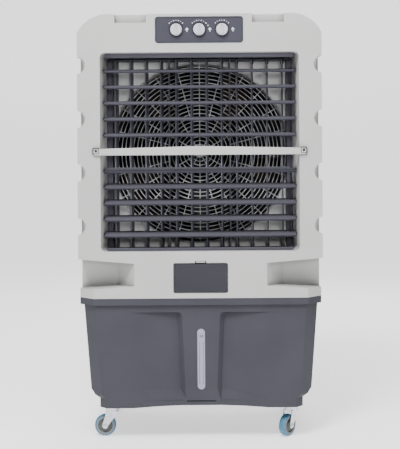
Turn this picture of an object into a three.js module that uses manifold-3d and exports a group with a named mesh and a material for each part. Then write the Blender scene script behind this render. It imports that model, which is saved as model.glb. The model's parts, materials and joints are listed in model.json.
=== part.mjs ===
// Portable evaporative cooler on casters, as an assembly of separate pieces.
// Millimetres, +Z up, the front faces -Y. The origin is on the floor under the middle of the cooler.

import * as THREE from 'three';
import { mergeVertices } from 'three/addons/utils/BufferGeometryUtils.js';
import Module from 'manifold-3d';

const wasm = await Module();
wasm.setup();

// ---------------------------------------------------------------- driving dimensions

const width = 720;             // across the front frame
const height = 1260;           // floor to the top of the front frame
const depth = 460;             // knob faces to the back of the rear grille

const gap = 0.3;               // between pieces that touch
const runningGap = 0.3;        // around a pin or shaft, on the radius
const wall = 4;                // moulded shells

const knobReach = 15;          // knob face in front of the front frame
const tankTop = 422.5;         // the housing stands on the tank's rim
const casterHeight = 95;       // floor to the tank's foot

const frameDepth = 40;         // front frame, face to back edge
const frameBaseDepth = 97;     // the same at its lower block
const sideStep = 13;           // the frame stands proud of the housing by this
const cornerRadius = 100;      // top corners
const cornerReach = 90;        // corner arc's centre, in from the side
const sideMargin = 67;         // side of the frame to the air outlet
const topMargin = 113;
const bottomMargin = 138;      // tank rim to the air outlet
const outletCorner = 15;
const cheekDepth = 105;        // the outlet's walls go back this far
const cheekTaper = 10;         // and close in by this much

const bandHeight = 36.5;       // lower band under the hand recesses
const recessInnerX = 195;
const recessRise = 66;         // recess height at its inner end
const recessFlare = 14;        // more height at the side
const bandChamfer = 44;        // plan chamfer of the band and the tank rim
const rimStep = 0;             // the rim is narrower than the frame by this

const scallopCount = 4;
const scallopRadius = 25.5;
const scallopDepth = 24;       // at the face
const scallopBackDepth = 12;
const scallopFirst = 150;      // top of the frame to the first scallop
const scallopLast = 96;        // frame's side end to the last one

const louvreCount = 5;         // in each bank
const louvreChord = 45;
const louvreThickness = 6.5;
const louvreSetback = 50;      // face to the louvre pivots
const louvreEdgeRoom = 49;     // outlet edge to the outermost pivot
const louvreMiddleRoom = 53;   // crossbar's middle to the innermost pivots
const upperTilt = 15.5;        // degrees, front edge down
const lowerTilt = 20;
const pivotRadius = 3;
const louvreCrank = 16;        // pivot to the link's pin
const linkInset = 7;           // louvre end to the link's notch
const linkNotch = 9;
const linkWidth = 7;
const linkPin = 1.5;

const vaneCount = 12;
const vanePitch = 46;
const vaneChord = 40;
const vaneThickness = 2.6;
const vaneSetback = 110;       // face to the vane pivots
const vaneSwing = 10.5;        // degrees at rest
const vanePin = 2.5;
const vaneCrank = 13;
const railHeight = 12.4;
const railWall = 3;
const postWidth = 16;
const mullionThickness = 4;
const mullionReach = 33;       // in front of the vane pivots
const railReach = 28;          // behind the vane pivots
const railLip = 9;             // front lip of the lower rail
const railSlotInset = 8;       // long slots through both rails, from their ends
const railSlotFront = 5;       // and from their front walls
const railSlotBack = 12;       // and from the vane pivots

const fanSetback = 146;        // face to the front of the fan plate
const plateThickness = 4;
const orificeMargin = 12;      // outlet half width to the orifice radius
const orificeSides = 36;       // facets of the round duct
const shroudDepth = 84;
const tipClearance = 13;
const bladeCount = 5;
const bladePitch = 28;         // degrees
const hubRadius = 55;
const hubLength = 58;
const shaftRadius = 10;
const motorRadius = 65;
const motorLength = 95;
const armWidth = 30;
const armThickness = 10;

const padThickness = 50;
const rearPadThickness = 57;
const padBottomMargin = 49.5;  // tank rim to the pads
const padTopMargin = 72;       // top of the frame to the pads
const grilleThickness = 7.7;
const grilleBorder = 22;
const slatPitch = 46.5;
const slatHeight = 9;

const panelWidth = 258.6;
const panelHeight = 77;
const panelTopMargin = 9;
const panelThickness = 3;
const panelSeat = 2;           // panel let into the frame by this
const knobRadius = 17.5;
const knobSpacing = 67.5;
const knobStem = 4;
const dishRadius = 24;

const doorWidth = 155;
const doorHeight = 82.5;
const doorBottom = 18.5;       // above the tank rim
const doorThickness = 3.5;
const doorPin = 1;
const notchDepth = 2;          // finger notch over the door

const crossbarOverlap = 23;    // past each side of the outlet
const crossbarHeight = 34;
const crossbarEndHeight = 20;
const crossbarThickness = 9;
const crossbarSeat = 2;

const tankRimHeight = 20;
const tankFrontWall = 18;
const tankWall = 4;
const tankTopInset = 12;       // body under the rim
const tankTaper = 18;          // side, from the top to the knuckle
const knuckleHeight = 52;      // above the foot
const footHeight = 27;
const footInset = 58;          // rim to the foot, at the side
const windowWidth = 23;
const windowHeight = 182;
const windowBottom = 54;       // above the foot
const windowThickness = 3;
const columnTopHalf = 54;
const columnBottomHalf = 43;
const reliefWall = 16;
const reliefDepth = 13;
const reliefEnd = 205;
const reliefMargin = 22;       // tank rim and foot to the hollows beside the column
const reliefRound = 9;         // their upper corners by the column
const reliefRunOut = 35;       // they fade out over this height at the bottom
const columnLedge = 5;         // undercut below the column
const archHalf = 200;          // arch in the foot's lower edge
const archFlatHalf = 60;
const archRise = 8;
const drainRadius = 10;

const wheelRadius = 32.5;
const wheelWidth = 24;
const casterTrail = 20.5;
const casterInset = 90;        // side of the frame to the swivel
const casterFrontInset = 76;   // face to the front swivels
const casterRearInset = 70;
const stemRadius = 5.5;
const stemLength = 25;
const stemGap = 0.6;
const axleRadius = 4;
const forkPlate = 3;
const casterAngles = { front_left: 180, front_right: 231, rear_left: 150, rear_right: 20 };

// ---------------------------------------------------------------- places worked out from them

const faceY = -depth / 2 + knobReach;
const rearY = depth / 2;
const halfWidth = width / 2;
const frameBackY = faceY + frameDepth;
const blockBackY = faceY + frameBaseDepth;
const baseZ = tankTop + gap;

const rimHalf = halfWidth - rimStep;
const shellHalf = halfWidth - sideStep;
const shellRearY = rearY - grilleThickness - gap;
const recessBottomZ = tankTop + bandHeight;
const recessTopZ = recessBottomZ + recessRise;
const sideEndZ = recessTopZ + recessFlare;

const outletHalf = halfWidth - sideMargin;
const outletTop = height - topMargin;
const outletBottom = tankTop + bottomMargin;
const crossbarHalfLength = outletHalf + crossbarOverlap;
const outletMiddle = (outletTop + outletBottom) / 2;

const louvreY = faceY + louvreSetback;
const cheekAt = (setback) => outletHalf - (cheekTaper * setback) / cheekDepth;
const louvreHalf = cheekAt(louvreSetback + louvreChord / 2) - 2 * gap;
const upperPitch = (outletTop - louvreEdgeRoom - outletMiddle - louvreMiddleRoom) / (louvreCount - 1);
const lowerPitch = (outletMiddle - louvreMiddleRoom - outletBottom - louvreEdgeRoom) / (louvreCount - 1);

const vaneY = faceY + vaneSetback;
const frameInnerHalf = cheekAt(cheekDepth) - 1;
const postInner = frameInnerHalf - postWidth;
const railFrontY = faceY + 25;
const railTop = outletTop - gap;
const railBottom = outletBottom + gap;
const plateY = faceY + fanSetback;
const orificeRadius = Math.min(outletHalf, (outletTop - outletBottom) / 2 + 2) - orificeMargin;
const fanZ = outletMiddle;
const shroudBackY = plateY + shroudDepth;
const tipRadius = orificeRadius - tipClearance;

const padBottom = tankTop + padBottomMargin;
const padTop = height - padTopMargin;
const sidePadFrontY = plateY + plateThickness + 12;
const sidePadRearY = shellRearY - wall - 13;
const rearPadHalf = shellHalf - padThickness - 29;

const footZ = casterHeight + gap;
const tankFrontY = faceY + 2;
const tankRearY = shellRearY;
const tankMiddleY = (tankFrontY + tankRearY) / 2;
const tankHalfDepth = (tankRearY - tankFrontY) / 2;
const tankBodyTop = tankTop - tankRimHeight;
const knuckleZ = footZ + knuckleHeight;

// ---------------------------------------------------------------- materials

const finish = (color, roughness, metalness = 0) =>
  new THREE.MeshStandardMaterial({ color, roughness, metalness });

const lightPlastic = finish('#c4c4c4', 0.6);
const darkPlastic = finish('#5c5b66', 0.5);
const tankPlastic = finish('#626268', 0.55);
const panelPlastic = finish('#6b6b77', 0.5);
const knobPlastic = finish('#cdcdd6', 0.4);
const blackPlastic = finish('#1c1c20', 0.5);
const clearPlastic = finish('#b5b2c8', 0.2);
const guardWire = finish('#b9bbc0', 0.35, 0.8);
const zinc = finish('#dadae0', 0.3, 0.9);
const treadRubber = finish('#5c86a3', 0.7);
const padPaper = finish('#7a5c3a', 0.95);
const motorPaint = finish('#3c3d42', 0.5, 0.4);
const pipePlastic = finish('#d8d8d4', 0.5);

// ---------------------------------------------------------------- shape helpers

const radians = (degrees) => (degrees * Math.PI) / 180;

/** Turns a three.js geometry into a solid that can be joined and cut. */
function solid(geometry) {
  geometry.deleteAttribute('normal');
  geometry.deleteAttribute('uv');
  const merged = mergeVertices(geometry, 1e-4);
  return new wasm.Manifold(new wasm.Mesh({
    numProp: 3,
    vertProperties: new Float32Array(merged.attributes.position.array),
    triVerts: new Uint32Array(merged.index.array),
  }));
}

/** Moves each point of a geometry by a function of its place. */
function warp(geometry, move) {
  const position = geometry.attributes.position;
  const point = new THREE.Vector3();
  for (let i = 0; i < position.count; i += 1) {
    point.fromBufferAttribute(position, i);
    move(point);
    position.setXYZ(i, point.x, point.y, point.z);
  }
  return geometry;
}

const polygon = (points) => new THREE.Shape(points.map(([u, v]) => new THREE.Vector2(u, v)));

function roundedRect(u0, u1, v0, v1, radius) {
  const shape = new THREE.Shape();
  shape.absarc(u1 - radius, v1 - radius, radius, 0, Math.PI / 2);
  shape.absarc(u0 + radius, v1 - radius, radius, Math.PI / 2, Math.PI);
  shape.absarc(u0 + radius, v0 + radius, radius, Math.PI, 1.5 * Math.PI);
  shape.absarc(u1 - radius, v0 + radius, radius, 1.5 * Math.PI, 2 * Math.PI);
  return shape;
}

const extrude = (shape, length, curveSegments) =>
  new THREE.ExtrudeGeometry(shape, { depth: length, bevelEnabled: false, curveSegments });

/** An outline in X and Z, from y0 back to y1. */
function prismY(shape, y0, y1, curveSegments = 2) {
  return extrude(shape, y1 - y0, curveSegments).rotateX(Math.PI / 2).translate(0, y1, 0);
}

/** An outline in X and Y, from z0 up to z1. */
function prismZ(shape, z0, z1, curveSegments = 2) {
  return extrude(shape, z1 - z0, curveSegments).translate(0, 0, z0);
}

const sideways = new THREE.Matrix4().set(0, 0, 1, 0, 1, 0, 0, 0, 0, 1, 0, 0, 0, 0, 0, 1);

/** An outline in Y and Z, from x0 to x1. */
function prismX(shape, x0, x1, curveSegments = 2) {
  return extrude(shape, x1 - x0, curveSegments).applyMatrix4(sideways).translate(x0, 0, 0);
}

function box(x0, x1, y0, y1, z0, z1) {
  return new THREE.BoxGeometry(x1 - x0, y1 - y0, z1 - z0)
    .translate((x0 + x1) / 2, (y0 + y1) / 2, (z0 + z1) / 2);
}

const rodX = (radius, x0, x1, y, z, sides = 8) =>
  new THREE.CylinderGeometry(radius, radius, x1 - x0, sides)
    .rotateZ(-Math.PI / 2).translate((x0 + x1) / 2, y, z);

const rodY = (radius, y0, y1, x, z, sides = 12) =>
  new THREE.CylinderGeometry(radius, radius, y1 - y0, sides).translate(x, 0, 0)
    .translate(0, (y0 + y1) / 2, 0).translate(0, 0, z);

const rodZ = (radius, z0, z1, x, y, sides = 8) =>
  new THREE.CylinderGeometry(radius, radius, z1 - z0, sides)
    .rotateX(Math.PI / 2).translate(x, y, (z0 + z1) / 2);

const join = (geometries) => geometries.map(solid).reduce((whole, next) => whole.add(next));
const cut = (body, geometries) =>
  geometries.map(solid).reduce((rest, tool) => rest.subtract(tool), body);

/** Closed skin through rings of points, each ring anticlockwise seen from above, lowest first. */
function loft(rings) {
  const count = rings[0].length;
  const faces = [];
  for (let ring = 0; ring + 1 < rings.length; ring += 1) {
    for (let i = 0; i < count; i += 1) {
      const a = ring * count + i;
      const b = ring * count + ((i + 1) % count);
      faces.push(a, b, b + count, a, b + count, a + count);
    }
  }
  const outline = rings[0].map(([x, y]) => new THREE.Vector2(x, y));
  const top = (rings.length - 1) * count;
  for (const [a, b, c] of THREE.ShapeUtils.triangulateShape(outline, [])) {
    faces.push(c, b, a, top + a, top + b, top + c);
  }
  const geometry = new THREE.BufferGeometry();
  geometry.setAttribute('position', new THREE.Float32BufferAttribute(rings.flat(2), 3));
  geometry.setIndex(faces);
  return geometry;
}

const cooler = new THREE.Group();
cooler.name = 'evaporative_cooler';

/** Adds one named piece; its shape is a geometry or a solid. */
function piece(name, shape, material) {
  let geometry = shape;
  if (shape instanceof wasm.Manifold) {
    const { vertProperties, triVerts } = shape.getMesh();
    geometry = new THREE.BufferGeometry();
    geometry.setAttribute('position', new THREE.Float32BufferAttribute(vertProperties, 3));
    geometry.setIndex(new THREE.Uint32BufferAttribute(triVerts, 1));
  }
  const mesh = new THREE.Mesh(geometry, material);
  mesh.name = name;
  cooler.add(mesh);
  return mesh;
}

// ---------------------------------------------------------------- outlines shared by pieces

/** Front view of the frame or housing, drawn in from the frame's edge by inset. */
function hoodOutline(inset, bottom) {
  const half = halfWidth - inset;
  const radius = cornerRadius - inset;
  const centreX = halfWidth - cornerReach;
  const centreZ = height - cornerRadius;
  const start = Math.acos(Math.min(1, (half - centreX) / radius));
  const shape = new THREE.Shape();
  shape.moveTo(-half, bottom);
  shape.lineTo(half, bottom);
  shape.absarc(centreX, centreZ, radius, start, Math.PI / 2);
  shape.absarc(-centreX, centreZ, radius, Math.PI / 2, Math.PI - start);
  return shape;
}

/** Plan of the lower band and the tank: a rectangle with chamfered corners. */
function chamferedPlan(half, frontY, backY, chamfer, rearChamfer) {
  return [
    [-half + chamfer, frontY], [half - chamfer, frontY], [half, frontY + chamfer],
    [half, backY - rearChamfer], [half - rearChamfer, backY],
    [-half + rearChamfer, backY], [-half, backY - rearChamfer], [-half, frontY + chamfer],
  ];
}

// ---------------------------------------------------------------- front frame

/** The hand recess on one side; grow adds a lining's thickness. */
function handRecess(side, grow) {
  const innerWallX = recessInnerX + 50;
  const plan = new THREE.Shape();
  plan.moveTo(side * (recessInnerX - grow), faceY - 1);
  plan.lineTo(side * (recessInnerX - grow), faceY);
  plan.lineTo(side * (innerWallX - grow), faceY + 70);
  plan.quadraticCurveTo(
    side * (innerWallX - grow + 12), faceY + 86 + grow,
    side * (halfWidth - 50), faceY + 88 + grow,
  );
  plan.lineTo(side * (halfWidth + 20), faceY + 88 + grow);
  plan.lineTo(side * (halfWidth + 20), faceY - 1);
  const front = polygon([
    [side * (recessInnerX - grow), recessBottomZ - grow],
    [side * (halfWidth - 54), recessBottomZ - 8 - grow],
    [side * (halfWidth + 20), recessBottomZ - 12 - grow],
    [side * (halfWidth + 20), sideEndZ + 2 + grow],
    [side * (recessInnerX - grow), recessTopZ + grow],
  ]);
  return solid(prismZ(plan, baseZ, sideEndZ + 30, 5))
    .intersect(solid(prismY(front, faceY - 2, faceY + 120)));
}

/** A scallop in the frame's side edge, shallower towards the back. */
function scallop(side, z, grow) {
  const circle = new THREE.Shape().absarc(0, 0, scallopRadius + grow, 0, 2 * Math.PI);
  const shape = prismY(circle, faceY - 1, frameBackY + 1, 8);
  return warp(shape, (point) => {
    const back = (point.y - faceY) / frameDepth;
    const reach = scallopDepth + (scallopBackDepth - scallopDepth) * back + grow;
    point.x = side * halfWidth + (point.x * reach) / (scallopRadius + grow);
    point.z += z;
  });
}

/** The tapered air outlet; grow gives the outside of its walls. */
function outletFunnel(grow, y0, y1) {
  const shape = roundedRect(
    -outletHalf - grow, outletHalf + grow, outletBottom - grow, outletTop + grow, outletCorner + grow,
  );
  return warp(prismY(shape, y0, y1), (point) => {
    const share = 1 - (cheekTaper * (point.y - faceY)) / cheekDepth / (outletHalf + grow);
    point.x *= share;
  });
}

function topPocket(side, grow) {
  const middle = side * (halfWidth - 157.5);
  const half = 46.5 + grow;
  return box(middle - half, middle + half, faceY - 1, faceY + 18 + grow, height - 26 - grow, height + 1);
}

function louvrePivots() {
  const pivots = [];
  for (let i = 0; i < louvreCount; i += 1) {
    pivots.push({ bank: 'upper', z: outletMiddle + louvreMiddleRoom + upperPitch * i, tilt: upperTilt });
  }
  for (let i = 0; i < louvreCount; i += 1) {
    pivots.push({ bank: 'lower', z: outletMiddle - louvreMiddleRoom - lowerPitch * i, tilt: lowerTilt });
  }
  return pivots;
}

function buildFrontFrame() {
  const scallopTop = height - scallopFirst;
  const scallopPitch = (scallopTop - sideEndZ - scallopLast) / (scallopCount - 1);
  const scallops = (grow) => [-1, 1].flatMap((side) =>
    Array.from({ length: scallopCount }, (_, i) => scallop(side, scallopTop - scallopPitch * i, grow)));

  const hood = prismY(hoodOutline(0, recessTopZ - 25), faceY, frameBackY, 5);
  const block = prismZ(
    polygon(chamferedPlan(rimHalf, faceY, blockBackY, bandChamfer, 1)), baseZ, sideEndZ + 6,
  );
  const recesses = (grow) => handRecess(-1, grow).add(handRecess(1, grow));

  let hollow = join([
    prismY(hoodOutline(wall, recessTopZ - 21), faceY + wall, frameBackY - wall, 5),
    prismY(hoodOutline(sideStep + wall, recessTopZ - 21), frameBackY - wall - 1, frameBackY + 1, 5),
    prismZ(
      polygon(chamferedPlan(rimHalf - wall, faceY + wall, blockBackY + 10, bandChamfer - 2, 1)),
      baseZ + wall, sideEndZ + 6 - wall,
    ),
  ]);
  hollow = hollow.subtract(recesses(wall));
  hollow = cut(hollow, [
    outletFunnel(wall, faceY, faceY + cheekDepth + 20),
    ...scallops(wall), topPocket(-1, wall), topPocket(1, wall),
  ]);

  let frame = join([hood, block]).subtract(hollow);
  frame = frame.add(solid(outletFunnel(wall, faceY + 1, faceY + cheekDepth)));
  frame = frame.subtract(recesses(0));

  const panelZ = height - panelTopMargin - panelHeight;
  const panelHalf = panelWidth / 2;
  const doorZ = tankTop + doorBottom;
  const barSeat = roundedRect(
    -crossbarHalfLength - 1, crossbarHalfLength + 1,
    outletMiddle - crossbarEndHeight / 2 - 1, outletMiddle + crossbarEndHeight / 2 + 1, 6,
  );
  const doorHalf = doorWidth / 2 + 1;
  const pinZ = doorZ + doorThickness / 2;
  const pinY = faceY + gap + doorThickness / 2;
  frame = frame.add(solid(box(doorHalf, doorHalf + 8, faceY + 1, faceY + 8, doorZ - 3, doorZ + 8)));
  frame = frame.add(solid(box(-doorHalf - 8, -doorHalf, faceY + 1, faceY + 8, doorZ - 3, doorZ + 8)));
  return cut(frame, [
    outletFunnel(0, faceY - 1, faceY + cheekDepth + 1),
    ...scallops(0), topPocket(-1, 0), topPocket(1, 0),
    prismY(roundedRect(-panelHalf - gap, panelHalf + gap, panelZ - gap, panelZ + panelHeight + gap, 8),
      faceY - 1, faceY + panelSeat),
    box(-panelHalf + 9, panelHalf - 9, faceY - 1, faceY + wall + 1, panelZ + 9, panelZ + panelHeight - 9),
    prismY(roundedRect(-doorHalf, doorHalf, doorZ - 1, doorZ + doorHeight + 1, 3), faceY - 1, faceY + wall + 5),
    prismY(roundedRect(-17, 17, doorZ + doorHeight - 4, doorZ + doorHeight + 9, 3),
      faceY - 1, faceY + notchDepth),
    rodX(doorPin + runningGap, -doorHalf - 6, doorHalf + 6, pinY, pinZ, 8),
    prismY(barSeat, faceY - 1, faceY + crossbarSeat),
    ...louvrePivots().map(({ z }) =>
      rodX(pivotRadius + runningGap, -outletHalf - wall - 1, outletHalf + wall + 1, louvreY, z)),
  ]);
}

piece('front_frame', buildFrontFrame(), lightPlastic);

// ---------------------------------------------------------------- upper housing

const headerZ = padTop + 20;

function buildHousing() {
  const outer = prismY(hoodOutline(sideStep, baseZ), frameBackY + gap, shellRearY, 5);
  const inner = prismY(hoodOutline(sideStep + wall, baseZ + wall), frameBackY, shellRearY - wall, 5);
  return cut(solid(outer), [
    inner,
    box(-halfWidth, halfWidth, faceY, blockBackY + gap, baseZ - 1, sideEndZ + 6 + gap),
    box(-shellHalf + 30, shellHalf - 30, blockBackY - 1, shellRearY - 30, baseZ - 1, baseZ + wall + 1),
    box(-halfWidth, halfWidth, sidePadFrontY - gap, sidePadRearY + gap, padBottom - gap, padTop + gap),
    box(-rearPadHalf - gap, rearPadHalf + gap, shellRearY - wall - 1, rearY, padBottom - gap, padTop + gap),
  ]);
}

piece('upper_housing', buildHousing(), lightPlastic);

// ---------------------------------------------------------------- fan plate, guard, fan and motor

function buildFanPlate() {
  const plate = prismY(hoodOutline(sideStep + wall + gap, padBottom), plateY, plateY + plateThickness, 5);
  const tube = rodY(orificeRadius + wall, plateY + 1, shroudBackY, 0, fanZ, orificeSides);
  return cut(join([plate, tube]), [rodY(orificeRadius, plateY - 1, shroudBackY + 1, 0, fanZ, orificeSides)]);
}

piece('fan_plate', buildFanPlate(), lightPlastic);

/** Guard as a pierced disc: rings and radial bars, all in one plane. */
function buildGuard() {
  const rings = 3;
  const bars = 12;
  const bar = 5;
  const outer = orificeRadius * Math.cos(Math.PI / orificeSides) - gap;
  const centre = 40;
  const shape = new THREE.Shape();
  for (let i = 0; i < bars; i += 1) {
    shape.absarc(0, 0, outer, (2 * Math.PI * i) / bars, (2 * Math.PI * (i + 1)) / bars);
  }
  const pitch = (outer - centre) / rings;
  for (let ring = 0; ring < rings; ring += 1) {
    const r0 = centre + ring * pitch;
    const r1 = r0 + pitch - bar;
    for (let i = 0; i < bars; i += 1) {
      const a0 = (2 * Math.PI * i) / bars;
      const a1 = (2 * Math.PI * (i + 1)) / bars;
      const hole = new THREE.Path();
      hole.absarc(0, 0, r1, a0 + bar / 2 / r1, a1 - bar / 2 / r1);
      hole.absarc(0, 0, r0, a1 - bar / 2 / r0, a0 + bar / 2 / r0, true);
      shape.holes.push(hole);
    }
  }
  return prismY(shape, plateY + gap, plateY + gap + 3, 1).translate(0, 0, fanZ);
}

piece('fan_guard', buildGuard(), guardWire);

const hubFrontY = shroudBackY - 7 - hubLength;

function buildImpeller() {
  const blade = new THREE.Shape();
  blade.moveTo(-32, hubRadius - 12);
  blade.lineTo(32, hubRadius - 12);
  blade.quadraticCurveTo(75, tipRadius * 0.6, 62, tipRadius - 10);
  blade.absarc(0, 0, tipRadius, radians(77), radians(103));
  blade.quadraticCurveTo(-78, tipRadius * 0.6, -32, hubRadius - 12);
  let fan = solid(rodY(hubRadius, hubFrontY, hubFrontY + hubLength, 0, 0, 24));
  for (let i = 0; i < bladeCount; i += 1) {
    const shape = prismY(blade, -2.5, 2.5, 4)
      .rotateZ(radians(bladePitch))
      .translate(0, hubFrontY + hubLength / 2, 0)
      .rotateY((2 * Math.PI * i) / bladeCount);
    fan = fan.add(solid(shape));
  }
  const bore = rodY(shaftRadius + runningGap, hubFrontY - 1, hubFrontY + hubLength + 1, 0, 0, 16);
  return cut(fan, [bore]).translate([0, 0, fanZ]);
}

piece('fan_impeller', buildImpeller(), blackPlastic);

const bracketY = shroudBackY + gap;
const motorY = bracketY + armThickness + gap;

function buildBracket() {
  const reach = orificeRadius + wall;
  const arm = armWidth / 2;
  return cut(join([
    box(-reach, reach, bracketY, bracketY + armThickness, fanZ - arm, fanZ + arm),
    box(-arm, arm, bracketY, bracketY + armThickness, fanZ - reach, fanZ + reach),
    rodY(motorRadius, bracketY, bracketY + armThickness, 0, fanZ, 24),
  ]), [rodY(shaftRadius + 10, bracketY - 1, bracketY + armThickness + 1, 0, fanZ, 16)]);
}

piece('motor_bracket', buildBracket(), motorPaint);

piece('fan_motor', join([
  rodY(motorRadius, motorY, motorY + motorLength, 0, fanZ, 24),
  rodY(motorRadius * 0.45, motorY + motorLength - 1, motorY + motorLength + 12, 0, fanZ, 16),
  rodY(shaftRadius, hubFrontY - 5, motorY + 1, 0, fanZ, 16),
]), motorPaint);

// ---------------------------------------------------------------- horizontal louvres

const linkX = louvreHalf - linkInset - linkNotch / 2;

/** One louvre along X, its nose to the front, turned front edge down by its tilt. */
function buildLouvre({ z, tilt }) {
  const half = louvreChord / 2;
  const thick = louvreThickness / 2;
  const profile = new THREE.Shape();
  profile.moveTo(half, -0.8);
  profile.lineTo(half, 0.8);
  profile.quadraticCurveTo(0, thick * 1.3, -half + thick, thick);
  profile.absarc(-half + thick, 0, thick, Math.PI / 2, 1.5 * Math.PI);
  profile.quadraticCurveTo(0, -thick * 1.3, half, -0.8);
  const blade = join([
    prismX(profile, -louvreHalf, louvreHalf),
    rodX(pivotRadius, -cheekAt(louvreSetback) - wall + 1, cheekAt(louvreSetback) + wall - 1, 0, 0),
  ]);
  const notch = box(linkX - linkNotch / 2, linkX + linkNotch / 2, louvreCrank - 10, half + 1,
    -thick - 2, thick + 2);
  const pin = rodX(linkPin, linkX - linkNotch / 2 - 2, linkX + linkNotch / 2 + 2, louvreCrank, 0, 8);
  return cut(blade, [notch]).add(solid(pin)).rotate([tilt, 0, 0]).translate([0, louvreY, z]);
}

louvrePivots().forEach((pivot, i) => piece(`louvre_${i + 1}`, buildLouvre(pivot), darkPlastic));

/** Vertical bar that keeps a bank's louvres parallel; its bores sit on their crank pins. */
function buildLouvreLink(bank) {
  const pins = louvrePivots().filter((pivot) => pivot.bank === bank).map(({ z, tilt }) => ({
    y: louvreY + louvreCrank * Math.cos(radians(tilt)),
    z: z + louvreCrank * Math.sin(radians(tilt)),
  }));
  const { y } = pins[0];
  const low = Math.min(...pins.map((pin) => pin.z)) - 6;
  const high = Math.max(...pins.map((pin) => pin.z)) + 6;
  const bar = box(linkX - 2.5, linkX + 2.5, y - linkWidth / 2, y + linkWidth / 2, low, high);
  return cut(solid(bar), pins.map((pin) => rodX(linkPin + runningGap, linkX - 3, linkX + 3, y, pin.z, 8)));
}

piece('louvre_link_upper', buildLouvreLink('upper'), darkPlastic);
piece('louvre_link_lower', buildLouvreLink('lower'), darkPlastic);

// ---------------------------------------------------------------- vertical vanes and their frame

const vanePlaces = Array.from({ length: vaneCount }, (_, i) => (i - (vaneCount - 1) / 2) * vanePitch);
const topWebZ = railTop - railHeight;
const bottomWebZ = railBottom + railWall;
const vaneTop = topWebZ - gap;
const vaneBottom = bottomWebZ + gap;
const crankZ = topWebZ + railWall + gap;
const crankPlate = 3;

function buildVaneFrame() {
  const railBackY = vaneY + railReach;
  const backY = plateY - gap;
  const half = frameInnerHalf;
  const parts = [
    box(-half, half, railFrontY, railBackY, topWebZ, topWebZ + railWall),
    box(-half, half, railFrontY, railFrontY + railWall, topWebZ, railTop),
    box(-half, half, railFrontY, railBackY, railBottom, bottomWebZ),
    box(-half, half, railFrontY, railFrontY + railWall, railBottom, railBottom + railLip),
  ];
  for (const side of [-1, 1]) {
    const inner = side * postInner;
    const outer = side * half;
    parts.push(box(Math.min(inner, outer), Math.max(inner, outer), vaneY, backY, railBottom, topWebZ + 1));
    const mullionX = side * 2 * vanePitch;
    parts.push(box(mullionX - mullionThickness / 2, mullionX + mullionThickness / 2,
      vaneY - mullionReach, railBackY, railBottom + 1, topWebZ + 1));
  }
  const pins = vanePlaces.map((x) =>
    rodZ(vanePin + runningGap, railBottom - 1, topWebZ + railWall + 1, x, vaneY));
  const outline = roundedRect(-half, half, railBottom, railTop, outletCorner);
  const slots = [topWebZ, railBottom].map((z) =>
    box(-half + railSlotInset, half - railSlotInset,
      railFrontY + railWall + railSlotFront, vaneY - railSlotBack, z - 1, z + railWall + 1));
  return cut(join(parts).intersect(solid(prismY(outline, railFrontY - 1, plateY))), [...pins, ...slots]);
}

piece('vane_frame', buildVaneFrame(), darkPlastic);

/** One vane with a pivot at each end and a crank above the top rail's web. */
function buildVane(x) {
  const half = vaneChord / 2;
  const thick = vaneThickness / 2;
  const profile = polygon([
    [-thick, -half + 1], [-0.6, -half], [0.6, -half], [thick, -half + 1], [0.6, half], [-0.6, half],
  ]);
  const crankTop = crankZ + crankPlate;
  return join([
    prismZ(profile, vaneBottom, vaneTop),
    rodZ(vanePin, railBottom + gap, vaneBottom + 8, 0, 0),
    rodZ(vanePin, vaneTop - 8, crankTop, 0, 0),
    box(-3, 3, -3, vaneCrank + 3, crankZ, crankTop),
    rodZ(linkPin, crankTop - 1, railTop - 1.5, 0, vaneCrank, 8),
  ]).rotate([0, 0, -vaneSwing]).translate([x, vaneY, 0]);
}

vanePlaces.forEach((x, i) => piece(`vane_${i + 1}`, buildVane(x), darkPlastic));

function buildVaneLink() {
  const swing = radians(-vaneSwing);
  const shift = -vaneCrank * Math.sin(swing);
  const y = vaneY + vaneCrank * Math.cos(swing);
  const low = crankZ + crankPlate + gap;
  const first = vanePlaces[0] + shift;
  const last = vanePlaces[vaneCount - 1] + shift;
  const bar = box(first - 5, last + 5, y - 3.5, y + 3.5, low, low + 2.5);
  return cut(solid(bar), vanePlaces.map((x) =>
    rodZ(linkPin + runningGap, low - 1, low + 4, x + shift, y, 8)));
}

piece('vane_link', buildVaneLink(), darkPlastic);

const swingMotorZ = outletTop + wall + 6;
piece('swing_motor', join([
  box(150, 205, vaneY - 2, plateY - gap, swingMotorZ, swingMotorZ + 42),
  rodZ(5, swingMotorZ - 4, swingMotorZ + 1, 178, vaneY + 20),
]), motorPaint);

// ---------------------------------------------------------------- crossbar

function buildCrossbar() {
  const end = crossbarEndHeight / 2;
  const middle = crossbarHeight / 2;
  const round = 8;
  const shape = new THREE.Shape();
  shape.moveTo(0, -middle);
  shape.absarc(crossbarHalfLength - round, -end + round, round, -Math.PI / 2, 0);
  shape.absarc(crossbarHalfLength - round, end - round, round, 0, Math.PI / 2);
  shape.lineTo(0, middle);
  shape.absarc(-crossbarHalfLength + round, end - round, round, Math.PI / 2, Math.PI);
  shape.absarc(-crossbarHalfLength + round, -end + round, round, Math.PI, 1.5 * Math.PI);
  const backY = faceY + crossbarSeat - gap;
  const bar = prismY(shape, backY - crossbarThickness, backY);
  return warp(bar, (point) => {
    if (point.y < backY - 1) {
      point.z *= 0.93;
      point.x *= 0.992;
    }
  }).translate(0, 0, outletMiddle);
}

piece('crossbar', buildCrossbar(), lightPlastic);

// ---------------------------------------------------------------- control panel and knobs

const panelBottom = height - panelTopMargin - panelHeight;
const panelFrontY = faceY + panelSeat - gap - panelThickness;
const knobZ = panelBottom + panelHeight / 2;
const knobPlaces = { speed_knob: -knobSpacing, cool_knob: 0, swing_knob: knobSpacing };

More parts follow.
